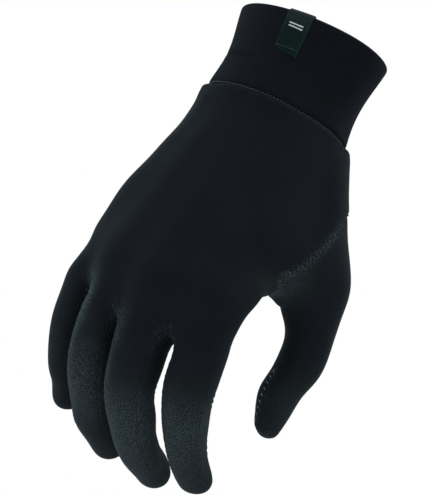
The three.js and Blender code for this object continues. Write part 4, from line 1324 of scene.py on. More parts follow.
def stitch_mesh(name, centres, alongs, outs, size):
    """Arched bars of thread across a seam, one at each centre, joined into one mesh."""
    width, slant = size["width"], size["slant"]
    share = np.linspace(-1, 1, ARCH_STEPS + 1)
    rise = size["crown"] - (size["crown"] + size["sink"]) * share ** 4
    ring = np.arange(THREAD_SIDES) * 2 * np.pi / THREAD_SIDES
    taper = THREAD_RADIUS * np.sqrt(np.clip(1.15 - share ** 8, 0.15, 1))
    count = len(centres)
    vertices = []
    for i in range(count):
        across = np.cross(outs[i], alongs[i])
        bar = unit(across * width / 2 + alongs[i] * slant)
        half = math.hypot(width / 2, slant)
        line = centres[i] + np.outer(share * half, bar) + np.outer(rise, outs[i])
        side = np.cross(outs[i], bar)
        circle = np.cos(ring)[None, :, None] * side + np.sin(ring)[None, :, None] * outs[i]
        vertices.append((line[:, None, :] + taper[:, None, None] * circle).reshape(-1, 3))
    grid = np.arange((ARCH_STEPS + 1) * THREAD_SIDES).reshape(ARCH_STEPS + 1, THREAD_SIDES)
    end_rings = (grid[0][::-1], grid[-1])
    ends = [[r[i] for i in corners] for corners in ((0, 1, 2, 3), (0, 3, 4, 5)) for r in end_rings]
    one = np.concatenate([tube_faces(grid[:-1], grid[1:]), np.array(ends)])
    all_faces = np.concatenate([one + i * grid.size for i in range(count)])
    return make_mesh(name, np.concatenate(vertices), all_faces)


def sampled(at, stops, values):
    """Rows of values at the lengths at, where stops gives the length of each row."""
    return np.stack([np.interp(at, stops, values[:, i]) for i in range(3)], 1)


STITCHES = {
    "thumb": {"pitch": 2.1, "width": 1.2, "slant": 0.35, "crown": 0.3, "sink": 0.3},
    "thumb_side": {"pitch": 2.7, "width": 0.8, "slant": 0.45, "crown": 0.35, "sink": 0.3},
    "strip": {"pitch": 2.1, "width": 1.0, "slant": 0.4, "crown": -0.1, "sink": 0.5},
    "side": {"pitch": 2.1, "width": 1.0, "slant": 0.4, "crown": -0.3, "sink": 0.4},
}
STITCHES_SHOW = 0.6
eased = skin + SKIN_EASE * normals
thread_pieces = []
for kind, size in STITCHES.items():
    centres, alongs, outs = [], [], []
    for seam in seams:
        if seam["kind"] != kind:
            continue
        line, stops = seam["line"], seam["at"]
        count = int(seam["length"] / size["pitch"])
        at = (np.arange(count) + 0.5) * seam["length"] / count
        at = at[np.interp(at, stops, presence[line]) > STITCHES_SHOW]
        centres.append(sampled(at, stops, eased[line]))
        alongs.append(units(sampled(at, stops, units(np.gradient(skin[line], axis=0)))))
        outs.append(units(sampled(at, stops, normals[line])))
    piece = stitch_mesh("stitches_" + kind, *map(np.concatenate, (centres, alongs, outs)), size)
    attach(piece, "root")
    thread_pieces.append(piece)
    print(piece.name, "has", sum(map(len, centres)), "stitches")

# %% [markdown]
# ## The rib-knit cuff
#
# The cuff is a tube of rib knit folded double, so its rim is a soft round fold and its ribs run up one side
# and down the other. Ribs could be bump only, but they shape the cuff's outline and catch the light, so
# they are modelled: fine ridges round the section, with a gentle waist. Two soft bulges, one at the rim and
# one above the seam, keep it from looking like a pipe, and a small crease stands where the folded cuff
# buckles a little at the wrist.

# %% The cuff's form
RIB_PITCH = 1.35
RIB_HEIGHT = 0.14
RIB_SAMPLES = 6
CUFF_EASE = 0.6
RIM_RADIUS = CUFF_WALL / 2
FIT_POWER = 4
BULGES = [
    {"height": 0.6, "degrees": 58, "half": 22, "depth": 0, "reach": 11},
    {"height": 0.5, "degrees": 300, "half": 20, "depth": 33, "reach": 8},
]
CREASE = {"degrees": 326, "half": 18, "depth": 24.0, "slant": 0.04, "rows_from": 21.2, "rows_to": 26.1}
CREASE_GROOVE = {"depth": 1.5, "width": 1.1}
CREASE_LIP = {"height": 0.5, "at": 1.4, "width": 1.4}
width_curve = np.polyfit(CUFF_SECTIONS["depth"], CUFF_SECTIONS["half_width"], FIT_POWER)
depth_curve = np.polyfit(CUFF_SECTIONS["depth"], CUFF_SECTIONS["half_depth"], FIT_POWER)
mean_half = np.mean([np.mean(CUFF_SECTIONS["half_width"]), np.mean(CUFF_SECTIONS["half_depth"])])
rib_count = round(2 * math.pi * mean_half / RIB_PITCH)


def cuff_points(depth, degrees, out):
    """Points of the cuff: how deep below the rim, the angle from its back, and how far outside its skin."""
    depth, degrees, out = np.broadcast_arrays(*(np.asarray(x, dtype=float) for x in (depth, degrees, out)))
    angle = np.radians(degrees)
    below = np.clip(depth, 0, CUFF_DEPTH)
    share = below / CUFF_DEPTH
    half_width = np.polyval(width_curve, below) + out
    half_depth = np.polyval(depth_curve, below) + out
    level = np.zeros_like(angle)
    flat_ring = np.stack([half_width * np.sin(angle), -half_depth * np.cos(angle), level], -1)
    rim, seam = tilt(*RIM_TILT), tilt(*SEAM_TILT)
    tilted = mix(flat_ring @ rim.T, flat_ring @ seam.T, share[..., None])
    shift = np.stack([WRIST["place"][0] * share, WRIST["place"][1] * share, -depth], -1)
    return tilted + shift


def over_rim(radius, steps):
    """Depth and offset of a half circle over the rim, from the outside to the inside."""
    angle = np.linspace(0, math.pi, steps + 1)
    return np.stack([RIM_RADIUS - radius * np.sin(angle), -RIM_RADIUS + radius * np.cos(angle)], 1)


print("ribs round the cuff:", rib_count)

# %% The cuff's mesh
OUTER_ROWS, CREASE_ROWS, INNER_ROWS, RIM_STEPS = 36, 14, 20, 8
RIB_SHAPE = {"power": 0.7, "middle": 0.6}
RIB_FADE = 1.6
TURN_IN = {"depth": 0.8, "width": 0.9}
crease_depths = np.linspace(CREASE["rows_from"], CREASE["rows_to"], CREASE_ROWS)
outer_depths = np.append(np.linspace(CUFF_DEPTH, RIM_RADIUS, OUTER_ROWS), crease_depths)
outer_depths = np.sort(outer_depths)[::-1]
inner_depths = np.linspace(RIM_RADIUS, CUFF_DEPTH, INNER_ROWS)
profile = np.concatenate([
    np.stack([outer_depths, np.zeros(len(outer_depths))], 1),
    over_rim(RIM_RADIUS, RIM_STEPS)[1:-1],
    np.stack([inner_depths, np.full(INNER_ROWS, -CUFF_WALL)], 1),
])
columns = np.arange(rib_count * RIB_SAMPLES)
column_degrees = columns * 360 / len(columns)
rib_phase = (columns % RIB_SAMPLES) / RIB_SAMPLES
rib_profile = np.abs(np.sin(np.pi * rib_phase)) ** RIB_SHAPE["power"] - RIB_SHAPE["middle"]
depth, out = profile[:, :1], profile[:, 1:]
on_outside = np.where(out > -RIM_RADIUS, 1.0, -1.0)
rib_fade = smooth_step(CUFF_DEPTH - depth, 0.0, RIB_FADE)
bulge = sum(b["height"] * bump_curve(column_degrees - b["degrees"], b["half"])
            * bump_curve(depth - b["depth"], b["reach"]) for b in BULGES)
from_crease = depth - CREASE["depth"] - CREASE["slant"] * (column_degrees - CREASE["degrees"])
crease = CREASE_LIP["height"] * bump_curve(from_crease - CREASE_LIP["at"], CREASE_LIP["width"])
crease = crease - CREASE_GROOVE["depth"] * bump_curve(from_crease, CREASE_GROOVE["width"])
crease = crease * bump_curve(column_degrees - CREASE["degrees"], CREASE["half"])
turn_in = -TURN_IN["depth"] * bump_curve(CUFF_DEPTH - depth, TURN_IN["width"])
lift = on_outside * (RIB_HEIGHT * rib_profile[None, :] * rib_fade + turn_in) + bulge + crease + CUFF_EASE
places_3d = cuff_points(depth, column_degrees[None, :], out + lift)
rings, sides = places_3d.shape[:2]
grid = np.arange(rings * sides).reshape(rings, sides)
cuff_faces = tube_faces(grid, np.roll(grid, -1, axis=0))
path = run_along(profile)
path = np.append(path, path[-1] + CUFF_WALL)
u = np.arange(sides + 1) * RIB_PITCH / RIB_SAMPLES
cuff_uv = np.empty((rings, sides, 4, 2))
for corner, (du, dv) in enumerate([(0, 0), (1, 0), (1, 1), (0, 1)]):
    cuff_uv[:, :, corner, 0] = u[None, du:sides + du]
    cuff_uv[:, :, corner, 1] = path[dv:rings + dv, None]
cuff = make_mesh("rib_cuff", places_3d.reshape(-1, 3), cuff_faces, cuff_uv.reshape(-1, 4, 2))
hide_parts("cuff")
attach(cuff, "root")
print("the cuff has", rib_count, "ribs and", 2 * len(cuff_faces), "triangles")

# %% Stitches of the cuff's seam
CUFF_STITCH = {"pitch": 1.5, "width": 0.25, "slant": 0.62, "crown": 0.05, "sink": 0.2}
STITCH_DEPTH = CUFF_DEPTH + 0.1
PROUD, SUNK = 0.55, 0.75
ROLL_STARTS, ROLL_ENDS = (22, 36), (150, 120)
ring_degrees = np.arange(0, 360, 360 * CUFF_STITCH["pitch"] / (2 * math.pi * mean_half))
rolled_in = smooth_step(ring_degrees, *ROLL_STARTS) * smooth_step(ring_degrees, *ROLL_ENDS)
stitch_out = PROUD - SUNK * rolled_in
low = cuff_points(STITCH_DEPTH, ring_degrees, stitch_out)
ahead = cuff_points(STITCH_DEPTH, ring_degrees + 1, stitch_out)
outward = units(cuff_points(STITCH_DEPTH, ring_degrees, stitch_out + 1) - low)
cuff_stitches = stitch_mesh("stitches_cuff", low, units(ahead - low), outward, CUFF_STITCH)
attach(cuff_stitches, "root")
thread_pieces.append(cuff_stitches)
print("the cuff's seam has", len(ring_degrees), "stitches")

# %% [markdown]
# ## The woven label
#
# A short ribbon, folded over the rim and sewn down on the outside of the cuff. A woven ribbon has a firm
# selvedge, so its edges are a little thicker than its middle, and it lies slightly proud of the ribs. Its
# face has two plain woven stripes.

# %% The label's form
LABEL = {"angle": 9.3, "width": 12.0, "outside": 18.3, "inside": 9.0, "thickness": 0.6, "lift": 0.35}
LABEL_COLUMNS = 36
LABEL_STEP = 0.4
LABEL_RIM_STEPS = 12
LABEL_SKEW = 0.9
SELVEDGE = {"thicker": 0.1, "from": 0.86, "to": 0.93}
ROUNDED_EDGE = {"thinner": 0.28, "from": 0.97, "to": 1.0}
WAVE = {"height": 0.12, "length": 2.9, "slant": 1.5}
SEWING = {"from_end": 2.1, "depth": 0.22, "width": 0.5}


def label_path(offset):
    """Depth and offset down the outside, seen from the bottom, over the rim and down the inside."""
    down = np.arange(LABEL["outside"], RIM_RADIUS, -LABEL_STEP)
    up = np.arange(RIM_RADIUS, LABEL["inside"], LABEL_STEP)
    flat_out = LABEL["lift"] + offset
    return np.concatenate([
        np.stack([down, np.full(len(down), flat_out)], 1),
        over_rim(RIM_RADIUS + flat_out, LABEL_RIM_STEPS),
        np.stack([up, np.full(len(up), -CUFF_WALL - flat_out)], 1),
    ])


face_path, back_path = label_path(LABEL["thickness"]), label_path(0.0)
label_share = np.linspace(-1, 1, LABEL_COLUMNS + 1)
span = math.degrees(LABEL["width"] / CUFF_SECTIONS["half_width"][0]) / 2
label_degrees = LABEL["angle"] + span * label_share
run = run_along(face_path)
to_edge = np.abs(label_share)
selvedge = (SELVEDGE["thicker"] * smooth_step(to_edge, SELVEDGE["from"], SELVEDGE["to"])
            - ROUNDED_EDGE["thinner"] * smooth_step(to_edge, ROUNDED_EDGE["from"], ROUNDED_EDGE["to"]))
on_face = face_path[:, 1:] > -RIM_RADIUS
out_side = np.where(on_face, 1.0, -1.0)
wavy = WAVE["height"] * np.sin(face_path[:, :1] / WAVE["length"] + label_share[None, :] * WAVE["slant"])
stitch_depth = LABEL["outside"] - SEWING["from_end"]
sewn = -SEWING["depth"] * bump_curve(face_path[:, :1] - stitch_depth, SEWING["width"]) * on_face
face_out = face_path[:, 1:] + out_side * (selvedge[None, :] + wavy + sewn)
back_out = back_path[:, 1:] + out_side * wavy
skew = LABEL_SKEW * label_share[None, :] * smooth_step(run[:, None], LABEL["outside"], 0.0)
label_face = cuff_points(face_path[:, :1] + skew, label_degrees[None, :], face_out)
label_back = cuff_points(back_path[:, :1] + skew, label_degrees[None, :], back_out)
steps, across_count = label_face.shape[:2]
grid = np.arange(steps * across_count).reshape(steps, across_count)
size = grid.size


def between(a, b):
    """Four-sided faces between two lines of points."""
    return np.stack([a[:-1], a[1:], b[1:], b[:-1]], 1)


front_faces = np.concatenate([between(grid[i], grid[i + 1]) for i in range(steps - 1)])
closing = [between(grid[0] + size, grid[0]), between(grid[-1], grid[-1] + size),
           between(grid[:, 0], grid[:, 0] + size), between(grid[:, -1] + size, grid[:, -1])]
label_faces = np.concatenate([front_faces, front_faces[:, ::-1] + size, *closing])
across_mm = label_share[None, :] * LABEL["width"] / 2
point_uv = np.stack(np.broadcast_arrays(across_mm, run[:, None]), -1).reshape(-1, 2)
label_uv = np.concatenate([point_uv, point_uv])[label_faces]
label_points = np.concatenate([label_face.reshape(-1, 3), label_back.reshape(-1, 3)])
label = make_mesh("label_ribbon", label_points, label_faces, label_uv)
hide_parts("label")
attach(label, "root")
print("the label is", LABEL["width"], "mm wide")

# %% Stitches of the label
LABEL_STITCH = {"count": 9, "reach": 0.86, "width": 0.95, "slant": 0.0, "crown": 0.12, "sink": 0.2}
STITCH_SINKS = 0.15
reach = LABEL_STITCH["reach"]
stitch_degrees = LABEL["angle"] + span * np.linspace(-reach, reach, LABEL_STITCH["count"])
stitch_out = LABEL["lift"] + LABEL["thickness"] - STITCH_SINKS
low = cuff_points(stitch_depth, stitch_degrees, stitch_out)
side = units(cuff_points(stitch_depth + 1, stitch_degrees, stitch_out) - low)
outward = units(cuff_points(stitch_depth, stitch_degrees, 2.0) - low)
label_stitches = stitch_mesh("stitches_label", low, side, outward, LABEL_STITCH)
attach(label_stitches, "root")
print("the label is sewn down with", len(stitch_degrees), "stitches")

# %% [markdown]
# ## Materials
#
# Four finishes show: a fine jersey, its rib-knit cousin, a woven ribbon and sewing thread. All are dark
# polyester, so what tells them apart is the pattern and how light skims over them. A knit is columns of
# small V-shaped loops. The height of that pattern is worked out from the flat-cloth map with a few maths
# nodes and drives bump and a slight shade, and a sheen stands for the fuzz that lights up at the rim.
#
# One function adds any node. It takes the node's kind, what goes into its sockets, and its settings, and
# gives back one of its outputs, so a pattern reads from left to right as a sum does.

# %% Colours, and one function that adds a node
COLOURS = {"data_type": "RGBA", "out": "Result"}
SHADED = {**COLOURS, "blend_type": "MULTIPLY"}


def linear(hex_colour):
    """An sRGB hex colour as linear red, green, blue and alpha."""
    parts = [int(hex_colour[i:i + 2], 16) / 255 for i in (1, 3, 5)]
    return (*(p / 12.92 if p <= 0.04045 else ((p + 0.055) / 1.055) ** 2.4 for p in parts), 1.0)


def add_node(material, kind, *inputs, out=0, **settings):
    """Adds a node and gives one of its outputs. Inputs come in the order of its sockets, or as a dict."""
    node = material.node_tree.nodes.new("ShaderNode" + kind)
    for name, value in settings.items():
        setattr(node, name, value)
    by_name = bool(inputs) and isinstance(inputs[0], dict)
    for socket, value in (inputs[0] if by_name else dict(enumerate(inputs))).items():
        if isinstance(value, bpy.types.NodeSocket):
            material.node_tree.links.new(value, node.inputs[socket])
        else:
            node.inputs[socket].default_value = value
    return node.outputs[out] if node.outputs else None


def new_material(name):
    """An empty material, with the function that adds nodes to it."""
    material = bpy.data.materials.new(name)
    material.use_nodes = True
    material.node_tree.nodes.clear()
    return material, partial(add_node, material)


def finish_material(add, base, relief, depth, surface, strength=1.0):
    """Ends a material: its colour, its relief as a bump of a depth in mm, and its surface."""
    bump = add("Bump", {"Height": relief, "Strength": strength, "Distance": depth * MM})
    shader = add("BsdfPrincipled", {"Base Color": base, "Normal": bump, **surface})
    add("OutputMaterial", {"Surface": shader})


print("mid grey in linear light:", round(linear("#808080")[0], 3))

# %% The knit's height from the flat-cloth map
LOOP_LEAN = 1.5
LOOP_RELIEF = (0.3, 0.7)


def knit_height(add, wale, course):
    """Height of a knit's V-shaped loops, 0 to 1; wale and course are its column and row pitch in mm."""
    flat_map = add("UVMap", uv_map="flat_cloth")
    column = add("Math", add("SeparateXYZ", flat_map, out=0), wale, operation="DIVIDE")
    row = add("Math", add("SeparateXYZ", flat_map, out=1), course, operation="DIVIDE")
    from_middle = add("Math", add("Math", column, operation="FRACT"), 0.5, operation="SUBTRACT")
    from_middle = add("Math", from_middle, operation="ABSOLUTE")
    lean = add("Math", from_middle, LOOP_LEAN, operation="MULTIPLY")
    turns = add("Math", add("Math", row, lean, operation="ADD"), 2 * math.pi, operation="MULTIPLY")
    legs = add("Math", add("Math", turns, operation="SINE"), *LOOP_RELIEF, operation="MULTIPLY_ADD")
    to_edge = add("Math", from_middle, 2.0, operation="MULTIPLY")
    valley = add("Math", 1.0, add("Math", to_edge, 3.0, operation="POWER"), operation="SUBTRACT")
    return add("Math", legs, valley, operation="MULTIPLY")


print("a loop's legs lean", LOOP_LEAN, "rows for each column")

# %% [markdown]
# A knit's colour is built in layers. Uneven dye makes soft clouds. Where the cloth is stretched, and where
# light is painted on it, its colour turns paler. The loops shade each other, and that shows most where the
# cloth is stretched or puckered. Fine tufts of fibre make a grain there, pale specks lie along the seams,
# partly fibres and partly painted glints, and painted shade darkens the fuzz between two fingers. The
# relief grows with the same number, so slack cloth looks brushed and flat and stretched cloth shows its
# knit. The tufts are about 0.5 mm across, as fine as the picture can show, and the clouds about 18 mm. A
# Map Range node takes the range that it reads, and then the range that it gives.

# %% Knitted polyester
FIBRE_SCALE, CLOUD_SCALE = 2100.0, 55.0
KNIT_OPENS = (0.5, 0.95)
TUFTS = (0.38, 0.62, -0.7, 1.6)
SPECKS = (0.56, 0.72)
CROOK_SHADE = 0.6
SLACK = {"loop_shade": 0.15, "loop_relief": 0.4, "fibre_relief": 0.1}
FUZZ_TINT = "#A8D0D8"


def knit_material(name, colour, pulled_and_lit_colour, speck_and_glint_colour, wale, course, relief, sheen, grain):
    """Dark polyester knit: loops in relief, uneven dye, paler fibres and painted light where pulled,
    painted glints and shade, a fuzzy sheen.
    """
    material, add = new_material(name)
    height = knit_height(add, wale, course)
    place = add("TexCoord", out="Object")
    # Painted light, painted glints and painted shade are read from the cloth.
    pulled_and_lit, speck_and_glint_amount, crook_shade = (add("Attribute", attribute_name=stored, out="Fac")
                                      for stored in ("stretch_and_painted_light", "specks_and_painted_glints", "crook"))
    fibres = add("TexNoise", {"Vector": place, "Scale": FIBRE_SCALE, "Detail": 1.0}, out="Fac")
    clouds = add("TexNoise", {"Vector": place, "Scale": CLOUD_SCALE, "Detail": 3.0}, out="Fac")
    open_knit = add("MapRange", pulled_and_lit, *KNIT_OPENS)
    shown = add("Math", open_knit, speck_and_glint_amount, operation="MAXIMUM")
    shown = add("Math", shown, grain, operation="MAXIMUM")
    shown = add("Math", shown, 1.0, operation="MINIMUM")
    loop_shade, loop_relief, fibre_relief = (
        add("Math", shown, 1 - least, least, operation="MULTIPLY_ADD") for least in SLACK.values())
    uneven_dye = add("Math", clouds, 0.5, 0.5, operation="MULTIPLY_ADD")
    looped = add("Math", height, loop_shade, operation="MULTIPLY")
    shade = add("Math", uneven_dye, looped, operation="ADD")
    # Painted shade on the fuzz between two fingers.
    painted_gap_shade = add("Math", crook_shade, -CROOK_SHADE, 1.0, operation="MULTIPLY_ADD")
    shade = add("Math", shade, painted_gap_shade, operation="MULTIPLY")
    tufts = add("MapRange", fibres, *TUFTS)
    tufted = add("Math", tufts, shown, 1.0, operation="MULTIPLY_ADD")
    shade = add("Math", shade, tufted, operation="MULTIPLY")
    # Paler colour where the cloth is stretched and where light is painted.
    paled = add("Mix", {"Factor": pulled_and_lit, "A": linear(colour), "B": linear(pulled_and_lit_colour)}, **COLOURS)
    dyed = add("Mix", {"Factor": 1.0, "A": paled, "B": shade}, **SHADED)
    # Pale specks, partly fibres and partly painted glints.
    specks = add("Math", add("MapRange", fibres, *SPECKS), speck_and_glint_amount, operation="MULTIPLY")
    base = add("Mix", {"Factor": specks, "A": dyed, "B": linear(speck_and_glint_colour)}, **COLOURS)
    raised = add("Math", fibres, fibre_relief, operation="MULTIPLY")
    raised = add("Math", height, loop_relief, raised, operation="MULTIPLY_ADD")
    finish_material(add, base, raised, relief, {
        "Roughness": 0.9, "Specular IOR Level": 0.05, "Sheen Weight": sheen, "Sheen Roughness": 0.38,
        "Sheen Tint": linear(FUZZ_TINT)})
    return material


print("fuzz lights up at the rim with", FUZZ_TINT)

# %% [markdown]
# The jersey is a fine-gauge knit of brushed polyester with elastane. Its real loops are about 0.6 mm wide,
# which the picture cannot resolve, so they are drawn at 0.86 mm. The rib's loops are as wide as its
# modelled ribs. Both keep a low specular level, because light is caught between the fibres.

# %% Jersey and rib
# The second colour is that of stretched cloth with painted light, the third that of pale specks and painted
# glints.
jersey = knit_material("brushed_polyester_jersey", "#11141A", "#181E20", "#586468", wale=0.86, course=0.72,
                       relief=0.12, sheen=0.04, grain=0.06)
rib = knit_material("polyester_rib_knit", "#0E1016", "#0E1016", "#262B31", wale=RIB_PITCH, course=1.0,
                    relief=0.1, sheen=0.035, grain=0.1)
for piece in jersey_pieces:
    piece.data.materials.append(jersey)
cuff.data.materials.append(rib)
print("jersey on", len(jersey_pieces), "pieces")

# %% [markdown]
# A woven label is taffeta: warp and weft of shiny filament yarn crossing at right angles. Its real threads
# are about 0.25 mm apart and are drawn at 0.5 mm so that they show. Dark green dye, paler at the selvedge,
# and two thin off-white stripes woven across it near the bottom. The fold over the rim is painted paler
# grey, partly as rubbed wear and partly as painted light from above.

# %% Woven ribbon
THREAD_SPACING = 0.5
WEAVE_RELIEF = 0.08
FOLD = {"at": 20.0, "from": 1.0, "to": 11.0, "most": 0.9, "colour": "#1D2A28"}
PALE_EDGE = {"from": 0.9, "to": 0.6}
STRIPE = {"colour": "#C6CCC9", "at": (11.2, 12.5), "half": 0.25, "side": 3.4, "cover": 0.85}


def woven_ribbon():
    material, add = new_material("taffeta_ribbon")
    flat_map = add("UVMap", uv_map="flat_cloth")
    across, down = (add("SeparateXYZ", flat_map, out=axis) for axis in (0, 1))
    turn = 2 * math.pi / THREAD_SPACING
    warp, weft = (add("Math", add("Math", way, turn, operation="MULTIPLY"), operation="SINE")
                  for way in (across, down))
    weave = add("Math", add("Math", warp, weft, operation="MULTIPLY"), 0.5, 0.5, operation="MULTIPLY_ADD")
    from_middle = add("Math", across, operation="ABSOLUTE")
    half = LABEL["width"] / 2
    edge = add("MapRange", from_middle, half - PALE_EDGE["from"], half - PALE_EDGE["to"])
    ground = add("Mix", {"Factor": edge, "A": linear("#061816"), "B": linear("#0F2522")}, **COLOURS)
    # The fold over the rim is paler: rubbed wear and painted light from above.
    from_fold = add("Math", add("Math", down, FOLD["at"], operation="SUBTRACT"), operation="ABSOLUTE")
    rubbed_and_lit_fold = add("MapRange", from_fold, FOLD["from"], FOLD["to"], FOLD["most"], 0.0)
    ground = add("Mix", {"Factor": rubbed_and_lit_fold, "A": ground, "B": linear(FOLD["colour"])}, **COLOURS)
    stripes = 0.0
    for middle in STRIPE["at"]:
        away = add("Math", add("Math", down, middle, operation="SUBTRACT"), operation="ABSOLUTE")
        on_stripe = add("Math", away, STRIPE["half"], operation="LESS_THAN")
        stripes = add("Math", stripes, on_stripe, operation="ADD")
    within = add("Math", from_middle, STRIPE["side"], operation="LESS_THAN")
    marked = add("Math", stripes, within, operation="MULTIPLY")
    marked = add("Math", marked, STRIPE["cover"], operation="MULTIPLY")
    coloured = add("Mix", {"Factor": marked, "A": ground, "B": linear(STRIPE["colour"])}, **COLOURS)
    nap = add("TexNoise", {"Vector": flat_map, "Scale": 1.6, "Detail": 2.0}, out="Fac")
    nap = add("Math", nap, 0.2, operation="ADD")
    shade = add("Math", weave, 0.5, nap, operation="MULTIPLY_ADD")
    base = add("Mix", {"Factor": 1.0, "A": coloured, "B": shade}, **SHADED)
    finish_material(add, base, weave, WEAVE_RELIEF, {"Roughness": 0.65, "Specular IOR Level": 0.05})
    return material


label.data.materials.append(woven_ribbon())
print("ribbon threads every", THREAD_SPACING, "mm")

# %% [markdown]
# Sewing thread is spun polyester: two plies twisted together, a little glossier than the cloth around it,
# which is why single stitches glint in the picture. The twist is a slanted wave along the thread, one turn
# in about 0.7 mm. The strips and the side seam are sewn with black. The thumb's set-in seam and the cuff's
# seam show greyer thread, whose grey is partly a painted glint, the thumb's side seam a pale one, whose
# pale colour is a painted glint, and the label's is dark green.

# %% Sewing thread
# The grey threads are partly painted glints, and the pale one is a painted glint.
THREAD_COLOURS = {
    "stitches_thumb": ("grey_polyester_thread", "#3B4247"),
    "stitches_cuff": ("grey_polyester_thread", "#3B4247"),
    "stitches_thumb_side": ("pale_thread_painted_glint", "#7A848A"),
    "stitches_label": ("green_polyester_thread", "#33413D"),
}
USUAL_THREAD = ("black_polyester_thread", "#14181C")
TWIST = {"scale": 900.0, "uneven": 1.5, "relief": 0.05}
DYE_SCALE = 160.0


def spun_thread(name, colour):
    material, add = new_material(name)
    place = add("TexCoord", out="Object")
    twist = add("TexWave", {"Vector": place, "Scale": TWIST["scale"], "Distortion": TWIST["uneven"]},
                bands_direction="DIAGONAL", out="Fac")
    uneven_dye = add("TexNoise", {"Vector": place, "Scale": DYE_SCALE}, out="Fac")
    uneven_dye = add("Math", uneven_dye, 0.6, 0.4, operation="MULTIPLY_ADD")
    shade = add("Math", twist, 0.5, uneven_dye, operation="MULTIPLY_ADD")
    base = add("Mix", {"Factor": 1.0, "A": linear(colour), "B": shade}, **SHADED)
    finish_material(add, base, twist, TWIST["relief"], {"Roughness": 0.5, "Specular IOR Level": 0.2})
    return material


threads = {}
for piece in [*thread_pieces, label_stitches]:
    name, colour = THREAD_COLOURS.get(piece.name, USUAL_THREAD)
    if name not in threads:
        threads[name] = spun_thread(name, colour)
    piece.data.materials.append(threads[name])
print(len(threads), "threads on", len(thread_pieces) + 1, "pieces")

# %% [markdown]
# ## Camera, light and floor
#
# The picture was taken from the thumb's side and a little below, with the camera rolled, against pure
# white. The camera stands 0.9 m off. The surround is white where the camera looks and dimmer elsewhere,
# which draws the pale rim on dark fuzz. A softbox at the ceiling gives the form its main light, and four
# small soft lights at the sides of the picture, all a little blue or green, light its edges.

# %% Camera
CAMERA = {"azimuth": 35.43, "elevation": -11.28, "roll": -32.75, "distance": 900.0, "pixels_per_mm": 2.43}
PICTURE = (435, 495)
LOOK_AT = np.array((0.0, 10.0, -115.0))
LOOK_AT_PIXEL = (178.04, 276.06)
SENSOR = 36.0

azimuth, elevation, roll = (math.radians(CAMERA[name]) for name in ("azimuth", "elevation", "roll"))
back_axis = np.array((math.sin(azimuth) * math.cos(elevation), -math.cos(azimuth) * math.cos(elevation),
                      math.sin(elevation)))
level_right = np.array((math.cos(azimuth), math.sin(azimuth), 0.0))
level_up = np.cross(back_axis, level_right)
right_axis = math.cos(roll) * level_right - math.sin(roll) * level_up
up_axis = math.sin(roll) * level_right + math.cos(roll) * level_up
place = LOOK_AT + CAMERA["distance"] * back_axis
off_right = (PICTURE[0] / 2 - LOOK_AT_PIXEL[0]) / CAMERA["pixels_per_mm"]
off_up = (LOOK_AT_PIXEL[1] - PICTURE[1] / 2) / CAMERA["pixels_per_mm"]
target = LOOK_AT + off_right * right_axis + off_up * up_axis
back_axis = unit(place - target)
right_axis = unit(np.cross(up_axis, back_axis))
up_axis = np.cross(back_axis, right_axis)

camera_data = bpy.data.cameras.new("camera")
camera_data.sensor_width = SENSOR
camera_data.lens = CAMERA["pixels_per_mm"] * CAMERA["distance"] * SENSOR / PICTURE[1]
camera_data.clip_start = 0.01
camera = bpy.data.objects.new("camera", camera_data)
matrix = np.eye(4)
matrix[:3, :3] = np.stack([right_axis, up_axis, back_axis], axis=1)
matrix[:3, 3] = place * MM
camera.matrix_world = Matrix(matrix.tolist())
bpy.context.scene.collection.objects.link(camera)
bpy.context.scene.camera = camera
print("lens:", round(camera_data.lens), "mm, camera at", [round(v) for v in place], "mm")

# %% Lights
GLOVE_MIDDLE = Vector((0.0, 0.0, -0.1))


def soft_light(name, place, size, power, colour="#FFFFFF"):
    """A square light that looks at the glove; size in metres, power in watts."""
    data = bpy.data.lights.new(name, "AREA")
    data.size = size
    data.energy = power
    data.color = linear(colour)[:3]
    lamp = bpy.data.objects.new(name, data)
    aim = (GLOVE_MIDDLE - Vector(place)).to_track_quat("-Z", "Y")
    lamp.matrix_world = Matrix.Translation(place) @ aim.to_matrix().to_4x4()
    bpy.context.scene.collection.objects.link(lamp)
    print(name, "light:", power, "W")


def as_metres(right, up, towards):
    """A place given along the picture's right, its up and towards the camera, in metres."""
    return tuple(LOOK_AT * MM + right * right_axis + up * up_axis + towards * back_axis)


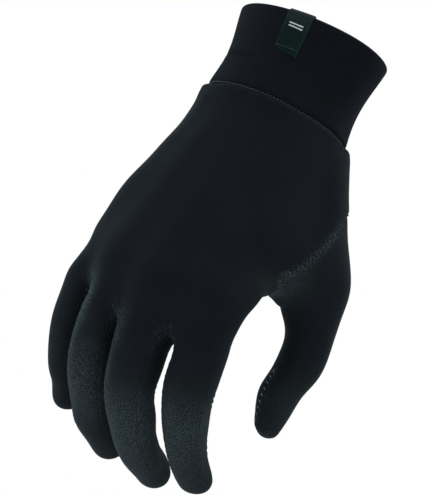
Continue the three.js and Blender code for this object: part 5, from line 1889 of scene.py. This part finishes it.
soft_light("ceiling", (0.0, -0.2, 2.4), 2.0, 85.0)
soft_light("left", as_metres(-1.0, 0.75, 0.4), 0.6, 2.7, "#CFE4FF")
soft_light("left_rim", as_metres(-0.9, 0.5, -0.7), 0.6, 5.0, "#CFEFF5")
soft_light("right_rim", as_metres(1.2, 0.2, -0.7), 0.6, 5.5, "#D8F2F6")
soft_light("right", as_metres(1.0, -0.3, 0.9), 0.8, 3.0, "#E6F4F4")

# %% The white surround, and the floor
ROOM_LIGHT = 0.4
GLOW = (0.55, 0.97)
FLOOR_DEPTH = 420.0
FLOOR_HALF = 4000.0
PAPER_RELIEF = 0.1
world = bpy.data.worlds.new("backdrop_and_room")
world.use_nodes = True
direction = add_node(world, "TexCoord", out="Generated")
to_backdrop = add_node(world, "VectorMath", direction, tuple(-back_axis), operation="DOT_PRODUCT",
                       out="Value")
glow = add_node(world, "MapRange", to_backdrop, *GLOW, ROOM_LIGHT, 1.0, interpolation_type="SMOOTHSTEP")
world.node_tree.links.new(glow, world.node_tree.nodes["Background"].inputs["Strength"])
world.node_tree.nodes["Background"].inputs["Color"].default_value = linear("#FFFFFF")
bpy.context.scene.world = world
bpy.context.scene.view_settings.view_transform = "Standard"

corners = np.array([(-1, -1), (1, -1), (1, 1), (-1, 1)]) * FLOOR_HALF
floor = make_mesh("floor", np.column_stack([corners, np.full(4, -FLOOR_DEPTH)]), np.array([[0, 1, 2, 3]]))
floor_paper, add = new_material("matt_paper")
grain = add("TexNoise", {"Scale": 400.0}, out="Fac")
finish_material(add, linear("#F4F4F2"), grain, PAPER_RELIEF, {"Roughness": 0.9}, strength=0.2)
floor.data.materials.append(floor_paper)
floor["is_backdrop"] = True
print("floor", round(FLOOR_DEPTH), "mm below the cuff's rim")

# %% [markdown]
# ## The size of the dressed model
#
# Its visual box is printed in millimetres. The dressed model has to stay as large as
# the solid one.

# %% Size of the dressed model
low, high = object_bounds()
print("visual box in mm:", [round(1000 * v, 1) for v in (*low, *high)])
